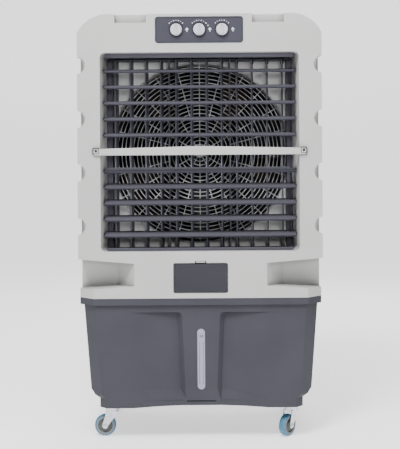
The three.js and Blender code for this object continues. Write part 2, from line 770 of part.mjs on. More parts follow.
function buildPanel() {
  const half = panelWidth / 2;
  const plate = prismY(roundedRect(-half, half, panelBottom, panelBottom + panelHeight, 8),
    panelFrontY, panelFrontY + panelThickness);
  return cut(solid(plate), Object.values(knobPlaces).flatMap((x) => [
    rodY(dishRadius, panelFrontY - 1, panelFrontY + 1.2, x, knobZ, 16),
    rodY(knobStem + runningGap, panelFrontY - 1, panelFrontY + panelThickness + 1, x, knobZ),
  ]));
}

piece('control_panel', buildPanel(), panelPlastic);

function buildKnob(x) {
  const front = -depth / 2;
  const back = panelFrontY + 1.2 - gap;
  return join([
    rodY(knobRadius, front + 4, back, 0, 0, 20),
    box(-3, 3, front, front + 5, -knobRadius + 1, knobRadius - 1),
    rodY(knobStem, back - 1, panelFrontY + panelThickness + 6, 0, 0),
  ]).translate([x, 0, knobZ]);
}

Object.entries(knobPlaces).forEach(([name, x]) => piece(name, buildKnob(x), knobPlastic));

// ---------------------------------------------------------------- fill door

function buildFillDoor() {
  const bottom = tankTop + doorBottom;
  const half = doorWidth / 2;
  const frontY = faceY + gap;
  const pinZ = bottom + doorThickness / 2;
  return join([
    prismY(roundedRect(-half, half, bottom, bottom + doorHeight, 5), frontY, frontY + doorThickness),
    rodX(doorPin, -half - 5, half + 5, frontY + doorThickness / 2, pinZ, 8),
  ]);
}

piece('fill_door', buildFillDoor(), panelPlastic);

// ---------------------------------------------------------------- water tank

/** How far the tank's front and rear lean in at a height, below its rim. */
const lean = (z) => 5 + ((tankBodyTop - z) * 13) / (tankBodyTop - knuckleZ);

/** Plan ring of the tank body at a height, drawn in by inset. */
function tankRing(z, half, inset, frontInset, chamfer) {
  const fall = lean(Math.max(z, knuckleZ));
  return chamferedPlan(half - inset, tankFrontY + fall + frontInset, tankRearY - fall - inset, chamfer, chamfer)
    .map(([x, y]) => [x, y, z]);
}

function tankBody(inset, frontInset, floor) {
  const top = rimHalf - tankTopInset;
  const knuckle = top - tankTaper;
  const foot = rimHalf - footInset;
  const rings = [];
  if (floor < footZ + 1) {
    rings.push(tankRing(footZ, foot, inset, frontInset, 20));
    rings.push(tankRing(footZ + footHeight, foot, inset, frontInset, 20));
  } else {
    rings.push(tankRing(floor, foot - 3, inset, frontInset, 20));
  }
  rings.push(tankRing(footZ + footHeight + 9, foot + 16, inset, frontInset, 26));
  rings.push(tankRing(knuckleZ, knuckle, inset, frontInset, 34));
  rings.push(tankRing(tankBodyTop + (inset ? tankRimHeight + 1 : 1), top, inset, frontInset, 36));
  return loft(rings);
}

const reliefLow = footZ + reliefMargin;
const reliefHigh = tankBodyTop - reliefMargin;

/** Hollow beside the raised column: deep at the column, running out to nothing outwards and below. */
function relief(side) {
  const narrow = (columnTopHalf - columnBottomHalf) / (reliefHigh - reliefLow);
  const ring = (z, depth, round) => {
    const edge = columnTopHalf - narrow * (reliefHigh - z) + round;
    const frontY = tankFrontY + lean(Math.max(z, knuckleZ));
    const points = [
      [edge, frontY - 2], [reliefEnd, frontY - 2], [reliefEnd, frontY], [edge + reliefWall, frontY + depth],
    ];
    return (side > 0 ? points : points.reverse()).map(([x, y]) => [side * x, y, z]);
  };
  return loft([
    ring(reliefLow, 1, 0),
    ring(reliefLow + reliefRunOut, reliefDepth, 0),
    ring(reliefHigh - reliefRound, reliefDepth, 0),
    ring(reliefHigh - 0.3 * reliefRound, reliefDepth, 0.3 * reliefRound),
    ring(reliefHigh, reliefDepth, reliefRound),
  ]);
}

/** Undercut that ends the column above the foot. */
function columnEnd() {
  const frontY = tankFrontY + lean(knuckleZ);
  return prismX(polygon([
    [frontY - 2, reliefLow - columnLedge], [frontY, reliefLow - columnLedge], [frontY + columnLedge, reliefLow],
    [frontY - 2, reliefLow],
  ]), -columnBottomHalf, columnBottomHalf);
}

/** Shallow arch through the foot's lower edge. */
function footArch() {
  const rise = footZ + archRise;
  const shoulder = (archHalf + archFlatHalf) / 2;
  const shoulderZ = footZ + archRise * 0.65;
  return prismY(polygon([
    [-archHalf, footZ - 1], [archHalf, footZ - 1], [archHalf, footZ], [shoulder, shoulderZ],
    [archFlatHalf, rise], [-archFlatHalf, rise], [-shoulder, shoulderZ], [-archHalf, footZ],
  ]), tankFrontY - 5, tankRearY + 5);
}

const casterPlaces = {
  front_left: [-(halfWidth - casterInset), faceY + casterFrontInset],
  front_right: [halfWidth - casterInset, faceY + casterFrontInset],
  rear_left: [-(halfWidth - casterInset), rearY - casterRearInset],
  rear_right: [halfWidth - casterInset, rearY - casterRearInset],
};

const windowZ = footZ + windowBottom;
const drainZ = footZ + 45;

/** Upright slot with round ends, leaning with the tank's front. */
function windowSlot(grow, y0, y1) {
  const half = windowWidth / 2 + grow;
  const shape = roundedRect(-half, half, windowZ - grow, windowZ + windowHeight + grow, half);
  return warp(prismY(shape, y0, y1, 4), (point) => {
    point.y += lean(point.z);
  });
}

function buildTank() {
  const rimPlan = polygon(chamferedPlan(rimHalf, tankFrontY - 2, tankRearY, bandChamfer, bandChamfer));
  let tank = join([prismZ(rimPlan, tankBodyTop, tankTop), tankBody(0, 0, footZ)]);
  tank = cut(tank, [relief(-1), relief(1), columnEnd(), footArch()]);
  tank = cut(tank, [tankBody(tankWall, tankFrontWall, footZ + 12)]);
  for (const [x, y] of Object.values(casterPlaces)) {
    tank = tank.add(solid(rodZ(stemRadius + 7, footZ + 1, footZ + stemLength + 8, x, y)));
  }
  return cut(tank, [
    windowSlot(gap, tankFrontY - 5, tankFrontY + tankFrontWall + 8),
    rodY(drainRadius + runningGap, tankRearY - 60, tankRearY + 5, 0, drainZ, 16),
    ...Object.values(casterPlaces).map(([x, y]) =>
      rodZ(stemRadius + stemGap, footZ - 1, footZ + stemLength + 2, x, y)),
  ]);
}

piece('water_tank', buildTank(), tankPlastic);

piece('level_window', windowSlot(0, tankFrontY + 1, tankFrontY + 1 + windowThickness), clearPlastic);

const floatY = tankFrontY + lean(windowZ) + 1 + windowThickness + 6;
piece('level_float', box(-8, 8, floatY - 4, floatY + 4, windowZ + 3, windowZ + 15), treadRubber);

const drainFaceY = tankRearY - lean(drainZ);
piece('drain_cap', join([
  rodY(drainRadius, drainFaceY - 12, drainFaceY + 3, 0, drainZ, 16),
  rodY(drainRadius + 7, drainFaceY + 2, drainFaceY + 10, 0, drainZ, 16),
]), blackPlastic);

// ---------------------------------------------------------------- water pump and pipes

const pumpX = -(shellHalf - padThickness - 62);
const pumpY = shellRearY - wall - rearPadThickness - 26;
const pumpRadius = 28;
const pumpBottom = footZ + 12 + gap;
const pumpHeight = 95;
const pipeRadius = 7;

piece('water_pump', rodZ(pumpRadius, pumpBottom, pumpBottom + pumpHeight, pumpX + 3, pumpY - 13, 20),
  blackPlastic);

function buildWaterLine() {
  const sideX = shellHalf - 25;
  const endY = sidePadFrontY + 10;
  const rearRunY = shellRearY - wall - 25;
  return join([
    rodZ(pipeRadius, pumpBottom + pumpHeight + gap, headerZ, pumpX, pumpY, 10),
    rodX(pipeRadius, -sideX, pumpX + pipeRadius, pumpY, headerZ, 10),
    rodY(pipeRadius, endY, rearRunY + pipeRadius, -sideX, headerZ, 10),
    rodY(pipeRadius, endY, rearRunY + pipeRadius, sideX, headerZ, 10),
    rodX(pipeRadius, -sideX, sideX, rearRunY, headerZ, 10),
  ]);
}

piece('water_line', buildWaterLine(), pipePlastic);

// ---------------------------------------------------------------- grilles and wet pads

/**
 * Grille frame with slanting slats, flat in X and Z with its outer face to +Y.
 * end is the side, -1 or 1, where a lower corner is left out for the front frame's block.
 */
function buildGrille(half, low, high, end = 0) {
  const frame = cut(solid(prismY(roundedRect(-half, half, low, high, 12), 0, grilleThickness)), [
    box(-half + grilleBorder, half - grilleBorder, -1, grilleThickness + 1,
      low + grilleBorder, high - grilleBorder),
  ]);
  const count = Math.floor((high - low - 2 * grilleBorder) / slatPitch);
  const slats = Array.from({ length: count }, (_, i) => {
    const z = low + grilleBorder + slatPitch * (i + 0.5);
    return prismX(polygon([
      [1, z], [grilleThickness, z - slatHeight], [grilleThickness, z - slatHeight + 3], [1, z + 3],
    ]), -half + grilleBorder - 2, half - grilleBorder + 2);
  });
  const grille = slats.map(solid).reduce((whole, slat) => whole.add(slat), frame);
  if (end === 0) {
    return grille;
  }
  const cornerWidth = blockBackY - grilleFrontY + 3;
  const cornerTop = sideEndZ + 8;
  const middle = end * (half - cornerWidth / 2);
  const reach = cornerWidth / 2;
  const border = grilleBorder / 2;
  return cut(grille.add(solid(box(
    middle - reach - (end > 0 ? border : -6), middle + reach + (end < 0 ? border : -6),
    0, grilleThickness, low + 6, cornerTop + border,
  ))), [box(middle - reach - 1, middle + reach + 1, -1, grilleThickness + 1, low - 1, cornerTop)]);
}

const grilleLow = padBottom - 18;
const grilleHigh = padTop + 18;
const grilleFrontY = frameBackY + 6;
const grilleRearY = shellRearY - 6;
const sideGrilleHalf = (grilleRearY - grilleFrontY) / 2;
const sideGrilleMiddle = (grilleRearY + grilleFrontY) / 2;
const padLength = [sidePadFrontY, sidePadRearY, padBottom, padTop];

piece('rear_grille', buildGrille(rearPadHalf + 30, grilleLow, grilleHigh)
  .translate([0, shellRearY + gap, 0]), lightPlastic);
piece('left_grille', buildGrille(sideGrilleHalf, grilleLow, grilleHigh, -1)
  .rotate([0, 0, 90]).translate([-shellHalf - gap, sideGrilleMiddle, 0]), lightPlastic);
piece('right_grille', buildGrille(sideGrilleHalf, grilleLow, grilleHigh, 1)
  .rotate([0, 0, -90]).translate([shellHalf + gap, sideGrilleMiddle, 0]), lightPlastic);

piece('rear_pad', box(-rearPadHalf, rearPadHalf, shellRearY - rearPadThickness, shellRearY, padBottom, padTop),
  padPaper);
piece('left_pad', box(-shellHalf, -shellHalf + padThickness, ...padLength), padPaper);
piece('right_pad', box(shellHalf - padThickness, shellHalf, ...padLength), padPaper);

// ---------------------------------------------------------------- casters

/** Fork with its wheel's axle, drawn trailing towards +X from the swivel at the origin. */
function buildFork() {
  const legInner = wheelWidth / 2 + 1;
  const legOuter = legInner + forkPlate;
  const crown = 2 * wheelRadius + 8;
  const leg = new THREE.Shape();
  leg.absarc(casterTrail, wheelRadius, 9, Math.PI, 2 * Math.PI);
  leg.lineTo(17, crown + 1);
  leg.lineTo(-19, crown + 1);
  leg.lineTo(casterTrail - 9, wheelRadius);
  return join([
    prismY(leg, -legOuter, -legInner),
    prismY(leg, legInner, legOuter),
    box(-19, 17, -legOuter, legOuter, crown, crown + forkPlate),
    rodZ(19, crown + 1, casterHeight, 0, 0, 20),
    rodZ(stemRadius, casterHeight - 1, footZ + stemLength, 0, 0),
    rodY(axleRadius, -legOuter - 2, legOuter + 2, casterTrail, wheelRadius),
  ]);
}

/** Wheel standing on the floor under the origin, turning about Y. */
function buildWheel() {
  const half = wheelWidth / 2;
  const bore = axleRadius + runningGap;
  const profile = [
    [bore, -half], [13, -half], [22, -half + 1], [wheelRadius - 4, -half + 1], [wheelRadius, -5],
    [wheelRadius, 5], [wheelRadius - 4, half - 1], [22, half - 1], [13, half], [bore, half],
    [bore, -half],
  ].map(([u, v]) => new THREE.Vector2(u, v));
  return solid(new THREE.LatheGeometry(profile, 24));
}

Object.entries(casterPlaces).forEach(([corner, [x, y]]) => {
  const angle = casterAngles[corner];
  piece(`${corner}_fork`, buildFork().rotate([0, 0, angle]).translate([x, y, 0]), zinc);
  const wheel = buildWheel().translate([casterTrail, 0, wheelRadius]).rotate([0, 0, angle]);
  piece(`${corner}_wheel`, wheel.translate([x, y, 0]), treadRubber);
});

export default cooler;
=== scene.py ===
"""Looks of a portable evaporative cooler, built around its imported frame.

Everything is in metres in the frame's own axes: +Z up, the air outlet faces -Y and the origin is
on the floor. Each sub-assembly is a class that builds and dresses its own pieces.
"""

import json
import logging
import math
from dataclasses import dataclass, field
from enum import Enum
from typing import Sequence

import bmesh
import bpy
from mathutils import Matrix, Vector


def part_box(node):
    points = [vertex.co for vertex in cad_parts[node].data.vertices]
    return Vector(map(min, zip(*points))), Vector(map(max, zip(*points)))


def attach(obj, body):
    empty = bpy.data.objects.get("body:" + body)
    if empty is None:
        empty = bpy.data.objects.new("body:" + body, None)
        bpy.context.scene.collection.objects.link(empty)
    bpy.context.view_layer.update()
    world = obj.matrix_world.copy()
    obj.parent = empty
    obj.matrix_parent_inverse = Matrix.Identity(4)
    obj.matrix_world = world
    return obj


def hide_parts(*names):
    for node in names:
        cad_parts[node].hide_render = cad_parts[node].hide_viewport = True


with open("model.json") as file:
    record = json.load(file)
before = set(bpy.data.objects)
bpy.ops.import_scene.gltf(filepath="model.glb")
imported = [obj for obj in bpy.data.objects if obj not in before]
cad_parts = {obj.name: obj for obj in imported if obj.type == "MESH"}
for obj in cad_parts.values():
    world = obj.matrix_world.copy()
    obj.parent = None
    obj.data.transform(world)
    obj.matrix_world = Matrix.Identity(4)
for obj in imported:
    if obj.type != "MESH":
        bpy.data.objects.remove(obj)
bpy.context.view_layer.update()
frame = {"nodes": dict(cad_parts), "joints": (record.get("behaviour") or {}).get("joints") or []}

logging.basicConfig(level=logging.INFO, format="%(levelname)s %(message)s")
log = logging.getLogger("cooler")

MM = 0.001
BODY = "cooler_body"
JOINT_PLACES = {joint["name"]: Vector(joint.get("pos_m", (0, 0, 0))) for joint in frame["joints"]}

Point = tuple[float, float]
Colour = tuple[float, float, float, float]


# ------------------------------------------------------------------ materials


def linear(hex_code: str) -> Colour:
    """Turns an sRGB hex colour into linear light.

    Args:
        hex_code: a colour such as "#c4c4c4".

    Returns:
        Red, green, blue and alpha for a shader socket.
    """
    channels = [int(hex_code[i:i + 2], 16) / 255 for i in (1, 3, 5)]
    light = [c / 12.92 if c <= 0.04045 else ((c + 0.055) / 1.055) ** 2.4 for c in channels]
    return (light[0], light[1], light[2], 1.0)


def dimmed(colour: Colour, share: float) -> Colour:
    """The same colour with its light cut to a share."""
    return (share * colour[0], share * colour[1], share * colour[2], 1.0)


def per_metre(size_mm: float) -> float:
    """Texture scale that repeats a pattern every size_mm millimetres."""
    return 1000.0 / size_mm


def add_node(tree: bpy.types.NodeTree, kind: str, settings: dict | None = None,
             links: dict | None = None) -> bpy.types.Node:
    """Adds one shader node.

    Args:
        tree: the material's node tree.
        kind: the node's type, without the "ShaderNode" prefix.
        settings: values by property name, or by input name or number; "stops" holds the positions
            and colours of a colour ramp's two ends.
        links: output sockets by input name or number.

    Returns:
        The new node.
    """
    node = tree.nodes.new("ShaderNode" + kind)
    for key, value in (settings or {}).items():
        if key == "stops":
            for element, (position, colour) in zip(node.color_ramp.elements, value):
                element.position, element.color = position, colour
        elif isinstance(key, str) and hasattr(node, key):
            setattr(node, key, value)
        else:
            node.inputs[key].default_value = value
    for key, socket in (links or {}).items():
        tree.links.new(socket, node.inputs[key])
    return node


@dataclass(frozen=True)
class Finish:
    """What every finish shares: its name and the shader that it ends in."""

    name: str

    def shade(self, tree: bpy.types.NodeTree, place: bpy.types.NodeSocket) -> bpy.types.Node:
        """Builds the finish's own nodes.

        Args:
            tree: the material's node tree.
            place: the socket that gives a point's place on its object, in metres.

        Returns:
            The Principled shader that the nodes end in.
        """
        raise NotImplementedError

    def material(self) -> bpy.types.Material:
        """Returns the finish's material, made on first use."""
        known = bpy.data.materials.get(self.name)
        if known is not None:
            return known
        made = bpy.data.materials.new(self.name)
        made.use_nodes = True
        tree = made.node_tree
        tree.nodes.clear()
        place = add_node(tree, "TexCoord").outputs["Object"]
        shader = self.shade(tree, place)
        add_node(tree, "OutputMaterial", links={"Surface": shader.outputs["BSDF"]})
        return made


@dataclass(frozen=True)
class MouldedPlastic(Finish):
    """Injection-moulded ABS or polypropylene with a spark-eroded matt texture.

    The mould's texture scatters the gloss evenly and slow cooling leaves faint cloudy bands in the
    colour. Corners and hollows are darkened towards a grey as painted shade, and faces that look up
    can be mixed towards a pale colour as painted top light.
    """

    colour: str = "#c4c4c4"
    cloud: str = "#bcbcbc"
    roughness: float = 0.55
    texture_mm: float = 2.2      # real texture is about 0.2 mm; drawn coarser so that it shows
    texture_depth_mm: float = 0.03
    cloud_mm: float = 160.0
    # painted shade: how dark corners and hollows get, and how far the darkening reaches
    painted_shade: float = 0.35
    painted_shade_reach_mm: float = 22.0
    painted_top_light: float = 0.0         # share of painted top light, a pale colour mixed into faces that look up
    # colours of the painted shade in corners and of the painted top light on upward faces
    painted_shade_colour: str = "#5c5a56"
    painted_top_light_colour: str = "#9a9aa2"

    def shade(self, tree: bpy.types.NodeTree, place: bpy.types.NodeSocket) -> bpy.types.Node:
        """Cloudy colour, painted shade in corners, optional painted top light, and a fine pitted bump."""
        clouds = add_node(tree, "TexNoise", {"Scale": per_metre(self.cloud_mm), "Detail": 3.0,
                                             "Roughness": 0.55}, {"Vector": place})
        ends = [(0.35, linear(self.cloud)), (0.65, linear(self.colour))]
        cloudy = add_node(tree, "ValToRGB", {"stops": ends}, {"Fac": clouds.outputs["Fac"]})
        # painted shade: where ambient occlusion finds nearby faces, the colour is darkened towards a grey
        corners = add_node(tree, "AmbientOcclusion",
                           {"samples": 4, "Distance": self.painted_shade_reach_mm * MM})
        painted_shade_mask = add_node(tree, "MapRange", {"From Min": 0.3, "From Max": 1.0, "To Min": self.painted_shade,
                                            "To Max": 0.0}, {"Value": corners.outputs["AO"]})
        shaded = add_node(tree, "MixRGB", {"blend_type": "MULTIPLY", "Color2": linear(self.painted_shade_colour)},
                          {"Fac": painted_shade_mask.outputs["Result"], "Color1": cloudy.outputs["Color"]})
        # painted top light: faces whose world normal points up are mixed towards a pale colour
        if self.painted_top_light:
            surface = add_node(tree, "NewGeometry")
            facing = add_node(tree, "SeparateXYZ", {}, {"Vector": surface.outputs["Normal"]})
            lying = add_node(tree, "MapRange",
                             {"From Min": 0.6, "From Max": 0.92, "To Max": self.painted_top_light},
                             {"Value": facing.outputs["Z"]})
            shaded = add_node(tree, "MixRGB", {"Color2": linear(self.painted_top_light_colour)},
                              {"Fac": lying.outputs["Result"], "Color1": shaded.outputs["Color"]})
        pits = add_node(tree, "TexNoise", {"Scale": per_metre(self.texture_mm), "Detail": 2.0,
                                           "Roughness": 0.7}, {"Vector": place})
        gloss = add_node(tree, "MapRange",
                         {"To Min": self.roughness - 0.06, "To Max": self.roughness + 0.08},
                         {"Value": pits.outputs["Fac"]})
        bump = add_node(tree, "Bump", {"Strength": 0.5, "Distance": self.texture_depth_mm * MM},
                        {"Height": pits.outputs["Fac"]})
        return add_node(tree, "BsdfPrincipled", {"IOR": 1.5, "Specular IOR Level": 0.15}, {
            "Base Color": shaded.outputs["Color"], "Roughness": gloss.outputs["Result"],
            "Normal": bump.outputs["Normal"],
        })


@dataclass(frozen=True)
class FrostedWindow(Finish):
    """Polycarbonate sight strip, moulded with a frosted back.

    Light goes a little way in and comes back milky, while the outer face keeps a soft shine.
    """

    colour: str = "#9c99b2"
    flow: str = "#918ea7"
    roughness: float = 0.35
    flow_mm: float = 40.0

    def shade(self, tree: bpy.types.NodeTree, place: bpy.types.NodeSocket) -> bpy.types.Node:
        """Milky colour with faint flow marks."""
        flow = add_node(tree, "TexNoise", {"Scale": per_metre(self.flow_mm), "Detail": 4.0},
                        {"Vector": place})
        ends = [(0.3, linear(self.flow)), (0.7, linear(self.colour))]
        milky = add_node(tree, "ValToRGB", {"stops": ends}, {"Fac": flow.outputs["Fac"]})
        return add_node(tree, "BsdfPrincipled", {
            "Roughness": self.roughness, "IOR": 1.58, "Transmission Weight": 0.15,
            "Coat Weight": 0.3, "Coat Roughness": 0.12,
        }, {"Base Color": milky.outputs["Color"]})


@dataclass(frozen=True)
class PlatedSteel(Finish):
    """Pressed or drawn steel with bright zinc plating.

    The plating is silvery with a faint cloudy spangle, so its highlights break up softly.
    """

    colour: str = "#dadae0"
    haze: str = "#b9b9c0"
    roughness: float = 0.32
    spangle_mm: float = 5.0

    def shade(self, tree: bpy.types.NodeTree, place: bpy.types.NodeSocket) -> bpy.types.Node:
        """Metal whose colour and gloss vary from crystal to crystal."""
        spangle = add_node(tree, "TexVoronoi", {"Scale": per_metre(self.spangle_mm)},
                           {"Vector": place})
        haze = add_node(tree, "TexNoise", {"Scale": per_metre(self.spangle_mm * 3), "Detail": 3.0},
                        {"Vector": place})
        ends = [(0.3, linear(self.haze)), (0.7, linear(self.colour))]
        hazy = add_node(tree, "ValToRGB", {"stops": ends}, {"Fac": haze.outputs["Fac"]})
        gloss = add_node(tree, "MapRange",
                         {"To Min": self.roughness - 0.08, "To Max": self.roughness + 0.12},
                         {"Value": spangle.outputs["Distance"]})
        return add_node(tree, "BsdfPrincipled", {"Metallic": 1.0}, {
            "Base Color": hazy.outputs["Color"], "Roughness": gloss.outputs["Result"],
        })


@dataclass(frozen=True)
class StovedEnamel(Finish):
    """Steel sprayed with enamel and baked.

    The paint flows before it sets, which leaves a shallow orange-peel ripple under an even gloss.
    """

    colour: str = "#3c3d42"
    roughness: float = 0.4
    peel_mm: float = 3.0
    drift_mm: float = 90.0       # slow change of colour where the coat is thinner
    thin_coat: float = 0.82      # how dark the thinner coat is

    def shade(self, tree: bpy.types.NodeTree, place: bpy.types.NodeSocket) -> bpy.types.Node:
        """Even colour over a rippled, glossy skin."""
        peel = add_node(tree, "TexNoise", {"Scale": per_metre(self.peel_mm), "Detail": 1.0},
                        {"Vector": place})
        drift = add_node(tree, "TexNoise", {"Scale": per_metre(self.drift_mm), "Detail": 2.0},
                         {"Vector": place})
        full = linear(self.colour)
        ends = [(0.3, dimmed(full, self.thin_coat)), (0.7, full)]
        coat = add_node(tree, "ValToRGB", {"stops": ends}, {"Fac": drift.outputs["Fac"]})
        bump = add_node(tree, "Bump", {"Strength": 0.35, "Distance": 0.05 * MM},
                        {"Height": peel.outputs["Fac"]})
        return add_node(tree, "BsdfPrincipled", {"Roughness": self.roughness, "IOR": 1.5},
                        {"Base Color": coat.outputs["Color"], "Normal": bump.outputs["Normal"]})


@dataclass(frozen=True)
class WheelRubber(Finish):
    """Thermoplastic rubber moulded round a caster wheel.

    The surface is dull, slightly chalky, and picks up dirt in streaks round the rolling face.
    """

    colour: str = "#437795"
    worn: str = "#386480"
    roughness: float = 0.6
    scuff_mm: float = 9.0

    def shade(self, tree: bpy.types.NodeTree, place: bpy.types.NodeSocket) -> bpy.types.Node:
        """Chalky colour with darker scuffs."""
        scuffs = add_node(tree, "TexNoise", {"Scale": per_metre(self.scuff_mm), "Detail": 5.0,
                                             "Roughness": 0.65}, {"Vector": place})
        ends = [(0.35, linear(self.worn)), (0.6, linear(self.colour))]
        chalky = add_node(tree, "ValToRGB", {"stops": ends}, {"Fac": scuffs.outputs["Fac"]})
        bump = add_node(tree, "Bump", {"Strength": 0.4, "Distance": 0.1 * MM},
                        {"Height": scuffs.outputs["Fac"]})
        return add_node(tree, "BsdfPrincipled", {"Roughness": self.roughness, "IOR": 1.5},
                        {"Base Color": chalky.outputs["Color"], "Normal": bump.outputs["Normal"]})


@dataclass(frozen=True)
class PadPaper(Finish):
    """Kraft cellulose paper stiffened with resin, corrugated and glued into a block.

    The resin leaves it a patchy brown, darker where water has run, with a fibrous surface.
    """

    colour: str = "#4c3d2c"
    wet: str = "#2c241b"
    patch_mm: float = 55.0
    fibre_mm: float = 1.5        # real fibres are finer; drawn coarser so that they show

    def shade(self, tree: bpy.types.NodeTree, place: bpy.types.NodeSocket) -> bpy.types.Node:
        """Patchy brown with fine fibres."""
        patches = add_node(tree, "TexNoise", {"Scale": per_metre(self.patch_mm), "Detail": 4.0},
                           {"Vector": place})
        fibres = add_node(tree, "TexNoise", {"Scale": per_metre(self.fibre_mm), "Detail": 2.0},
                          {"Vector": place})
        ends = [(0.35, linear(self.wet)), (0.65, linear(self.colour))]
        patchy = add_node(tree, "ValToRGB", {"stops": ends}, {"Fac": patches.outputs["Fac"]})
        bump = add_node(tree, "Bump", {"Strength": 0.6, "Distance": 0.2 * MM},
                        {"Height": fibres.outputs["Fac"]})
        return add_node(tree, "BsdfPrincipled", {"Roughness": 0.92},
                        {"Base Color": patchy.outputs["Color"], "Normal": bump.outputs["Normal"]})


@dataclass(frozen=True)
class PadPrint(Finish):
    """Ink pad-printed on plastic: a thin, even, slightly uneven-edged coat."""

    colour: str = "#e8e8ec"
    grain_mm: float = 1.2
    thin_ink: float = 0.88       # how dark the thinner ink is

    def shade(self, tree: bpy.types.NodeTree, place: bpy.types.NodeSocket) -> bpy.types.Node:
        """Even ink with a trace of the plastic's texture."""
        grain = add_node(tree, "TexNoise", {"Scale": per_metre(self.grain_mm), "Detail": 1.0},
                         {"Vector": place})
        full = linear(self.colour)
        ends = [(0.3, dimmed(full, self.thin_ink)), (0.6, full)]
        ink = add_node(tree, "ValToRGB", {"stops": ends}, {"Fac": grain.outputs["Fac"]})
        return add_node(tree, "BsdfPrincipled", {"Roughness": 0.5}, {"Base Color": ink.outputs["Color"]})


# each finish below darkens its corners and hollows by a share over a reach in mm, as painted shade
LIGHT_ABS = MouldedPlastic("moulded_light_grey_abs", colour="#b4b4b3", cloud="#b0b0af", painted_shade=0.5)
# louvre grey with painted top light on the faces that look up
LOUVRE_ABS = MouldedPlastic("moulded_louvre_grey_abs", colour="#33323c", cloud="#2f2e38",
                            roughness=0.5, painted_shade=0.3, painted_shade_reach_mm=24.0, painted_top_light=0.16)
PLATE_ABS = MouldedPlastic("moulded_fan_plate_white_abs", colour="#e2e2e1", cloud="#dadad9", painted_shade=0.25)
VANE_ABS = MouldedPlastic("moulded_vane_grey_abs", colour="#575661", cloud="#504f5a", roughness=0.45,
                          painted_shade=0.5, painted_shade_reach_mm=20.0)
# painted highlight: a pale copy of the vane grey for the bead along each vane's front edge
VANE_NOSE_HIGHLIGHT = MouldedPlastic("vane_nose_painted_highlight_abs", colour="#a09fab", cloud="#9897a3", roughness=0.35,
                           painted_shade=0.4, painted_shade_reach_mm=14.0)
TANK_PP = MouldedPlastic("moulded_tank_grey_polypropylene", colour="#3e3e45", cloud="#3a3a41",
                         roughness=0.55, texture_mm=2.6, painted_shade=0.6, painted_shade_reach_mm=45.0)
PANEL_ABS = MouldedPlastic("moulded_panel_grey_abs", colour="#3b3b45", cloud="#373740", roughness=0.5,
                           painted_shade=0.3, painted_shade_reach_mm=6.0)
DOOR_ABS = MouldedPlastic("moulded_door_grey_abs", colour="#33333a", cloud="#303036", roughness=0.5,
                          painted_shade=0.3, painted_shade_reach_mm=6.0)
KNOB_ABS = MouldedPlastic("moulded_knob_pale_abs", colour="#c2c2cc", cloud="#bcbcc6", roughness=0.35,
                          texture_depth_mm=0.01, painted_shade=0.3, painted_shade_reach_mm=5.0)
BLACK_PP = MouldedPlastic("moulded_black_polypropylene", colour="#0c0c0e", cloud="#08080a",
                          roughness=0.45, painted_shade=0.0)
WHEEL_CORE = MouldedPlastic("moulded_wheel_core_nylon", colour="#5a5d59", cloud="#50534f", roughness=0.5,
                            painted_shade=0.3, painted_shade_reach_mm=8.0)
WHEEL_WALL = MouldedPlastic("moulded_wheel_wall_rubber", colour="#7d8084", cloud="#717478",
                            roughness=0.6, painted_shade=0.3, painted_shade_reach_mm=6.0)
WHITE_PVC = MouldedPlastic("extruded_white_pvc", colour="#c8c8c4", cloud="#c0c0bb", roughness=0.35)
FLOAT_FOAM = MouldedPlastic("foamed_float_plastic", colour="#3c66a8", cloud="#355c9a", roughness=0.7)
WINDOW = FrostedWindow("frosted_window_polycarbonate")
ZINC = PlatedSteel("zinc_plated_steel")
WINDOW_RIB = MouldedPlastic("moulded_level_rib_plastic", colour="#7d7b92", cloud="#75738a", roughness=0.4,
                            painted_shade=0.2, painted_shade_reach_mm=4.0)
GUARD_COAT = StovedEnamel("stoved_pale_wire_enamel", colour="#e4e5ea", roughness=0.3)
DARK_SCREW = StovedEnamel("blackened_screw_steel", colour="#151516", roughness=0.45)
ENAMEL = StovedEnamel("stoved_dark_enamel")
TREAD = WheelRubber("moulded_blue_thermoplastic_rubber")
PAPER = PadPaper("corrugated_cellulose_paper")
PRINT = PadPrint("pad_printed_white_ink")


# ------------------------------------------------------------------ mesh building


class Axis(Enum):
    """Direction that a turned or extruded shape runs along."""

    X = "x"
    Y = "y"
    Z = "z"

    def place(self, u: float, v: float, along: float) -> Vector:
        """Point at u and v across the axis and at a distance along it."""
        if self is Axis.X:
            return Vector((along, u, v))
        if self is Axis.Y:
            return Vector((u, along, v))
        return Vector((u, v, along))


def new_mesh() -> bmesh.types.BMesh:
    """Returns an empty editable mesh."""
    return bmesh.new()


def add_grid(mesh: bmesh.types.BMesh, rows: Sequence[Sequence[Vector]], wrap_rows: bool = False,
             wrap_columns: bool = True, caps: bool = False) -> None:
    """Joins rows of points into a skin.

    Args:
        mesh: the mesh to add to.
        rows: rows with the same number of points.
        wrap_rows: joins the last row to the first.
        wrap_columns: closes each row on itself.
        caps: fills the first and last row with a face.
    """
    vertices = [[mesh.verts.new(point) for point in row] for row in rows]
    count = len(vertices[0])
    row_pairs = list(zip(vertices, vertices[1:]))
    if wrap_rows:
        row_pairs.append((vertices[-1], vertices[0]))
    columns = count if wrap_columns else count - 1
    for lower, upper in row_pairs:
        for i in range(columns):
            j = (i + 1) % count
            mesh.faces.new((lower[i], lower[j], upper[j], upper[i]))
    if caps:
        mesh.faces.new(list(reversed(vertices[0])))
        mesh.faces.new(vertices[-1])


def add_prism(mesh: bmesh.types.BMesh, outline: Sequence[Point], start: float, end: float,
              axis: Axis) -> None:
    """Extrudes an outline along an axis and closes its ends.

    Args:
        mesh: the mesh to add to.
        outline: points across the axis.
        start: where the first end lies along the axis.
        end: where the other end lies.
        axis: the direction of the extrusion.
    """
    add_grid(mesh, [[axis.place(u, v, at) for u, v in outline] for at in (start, end)], caps=True)


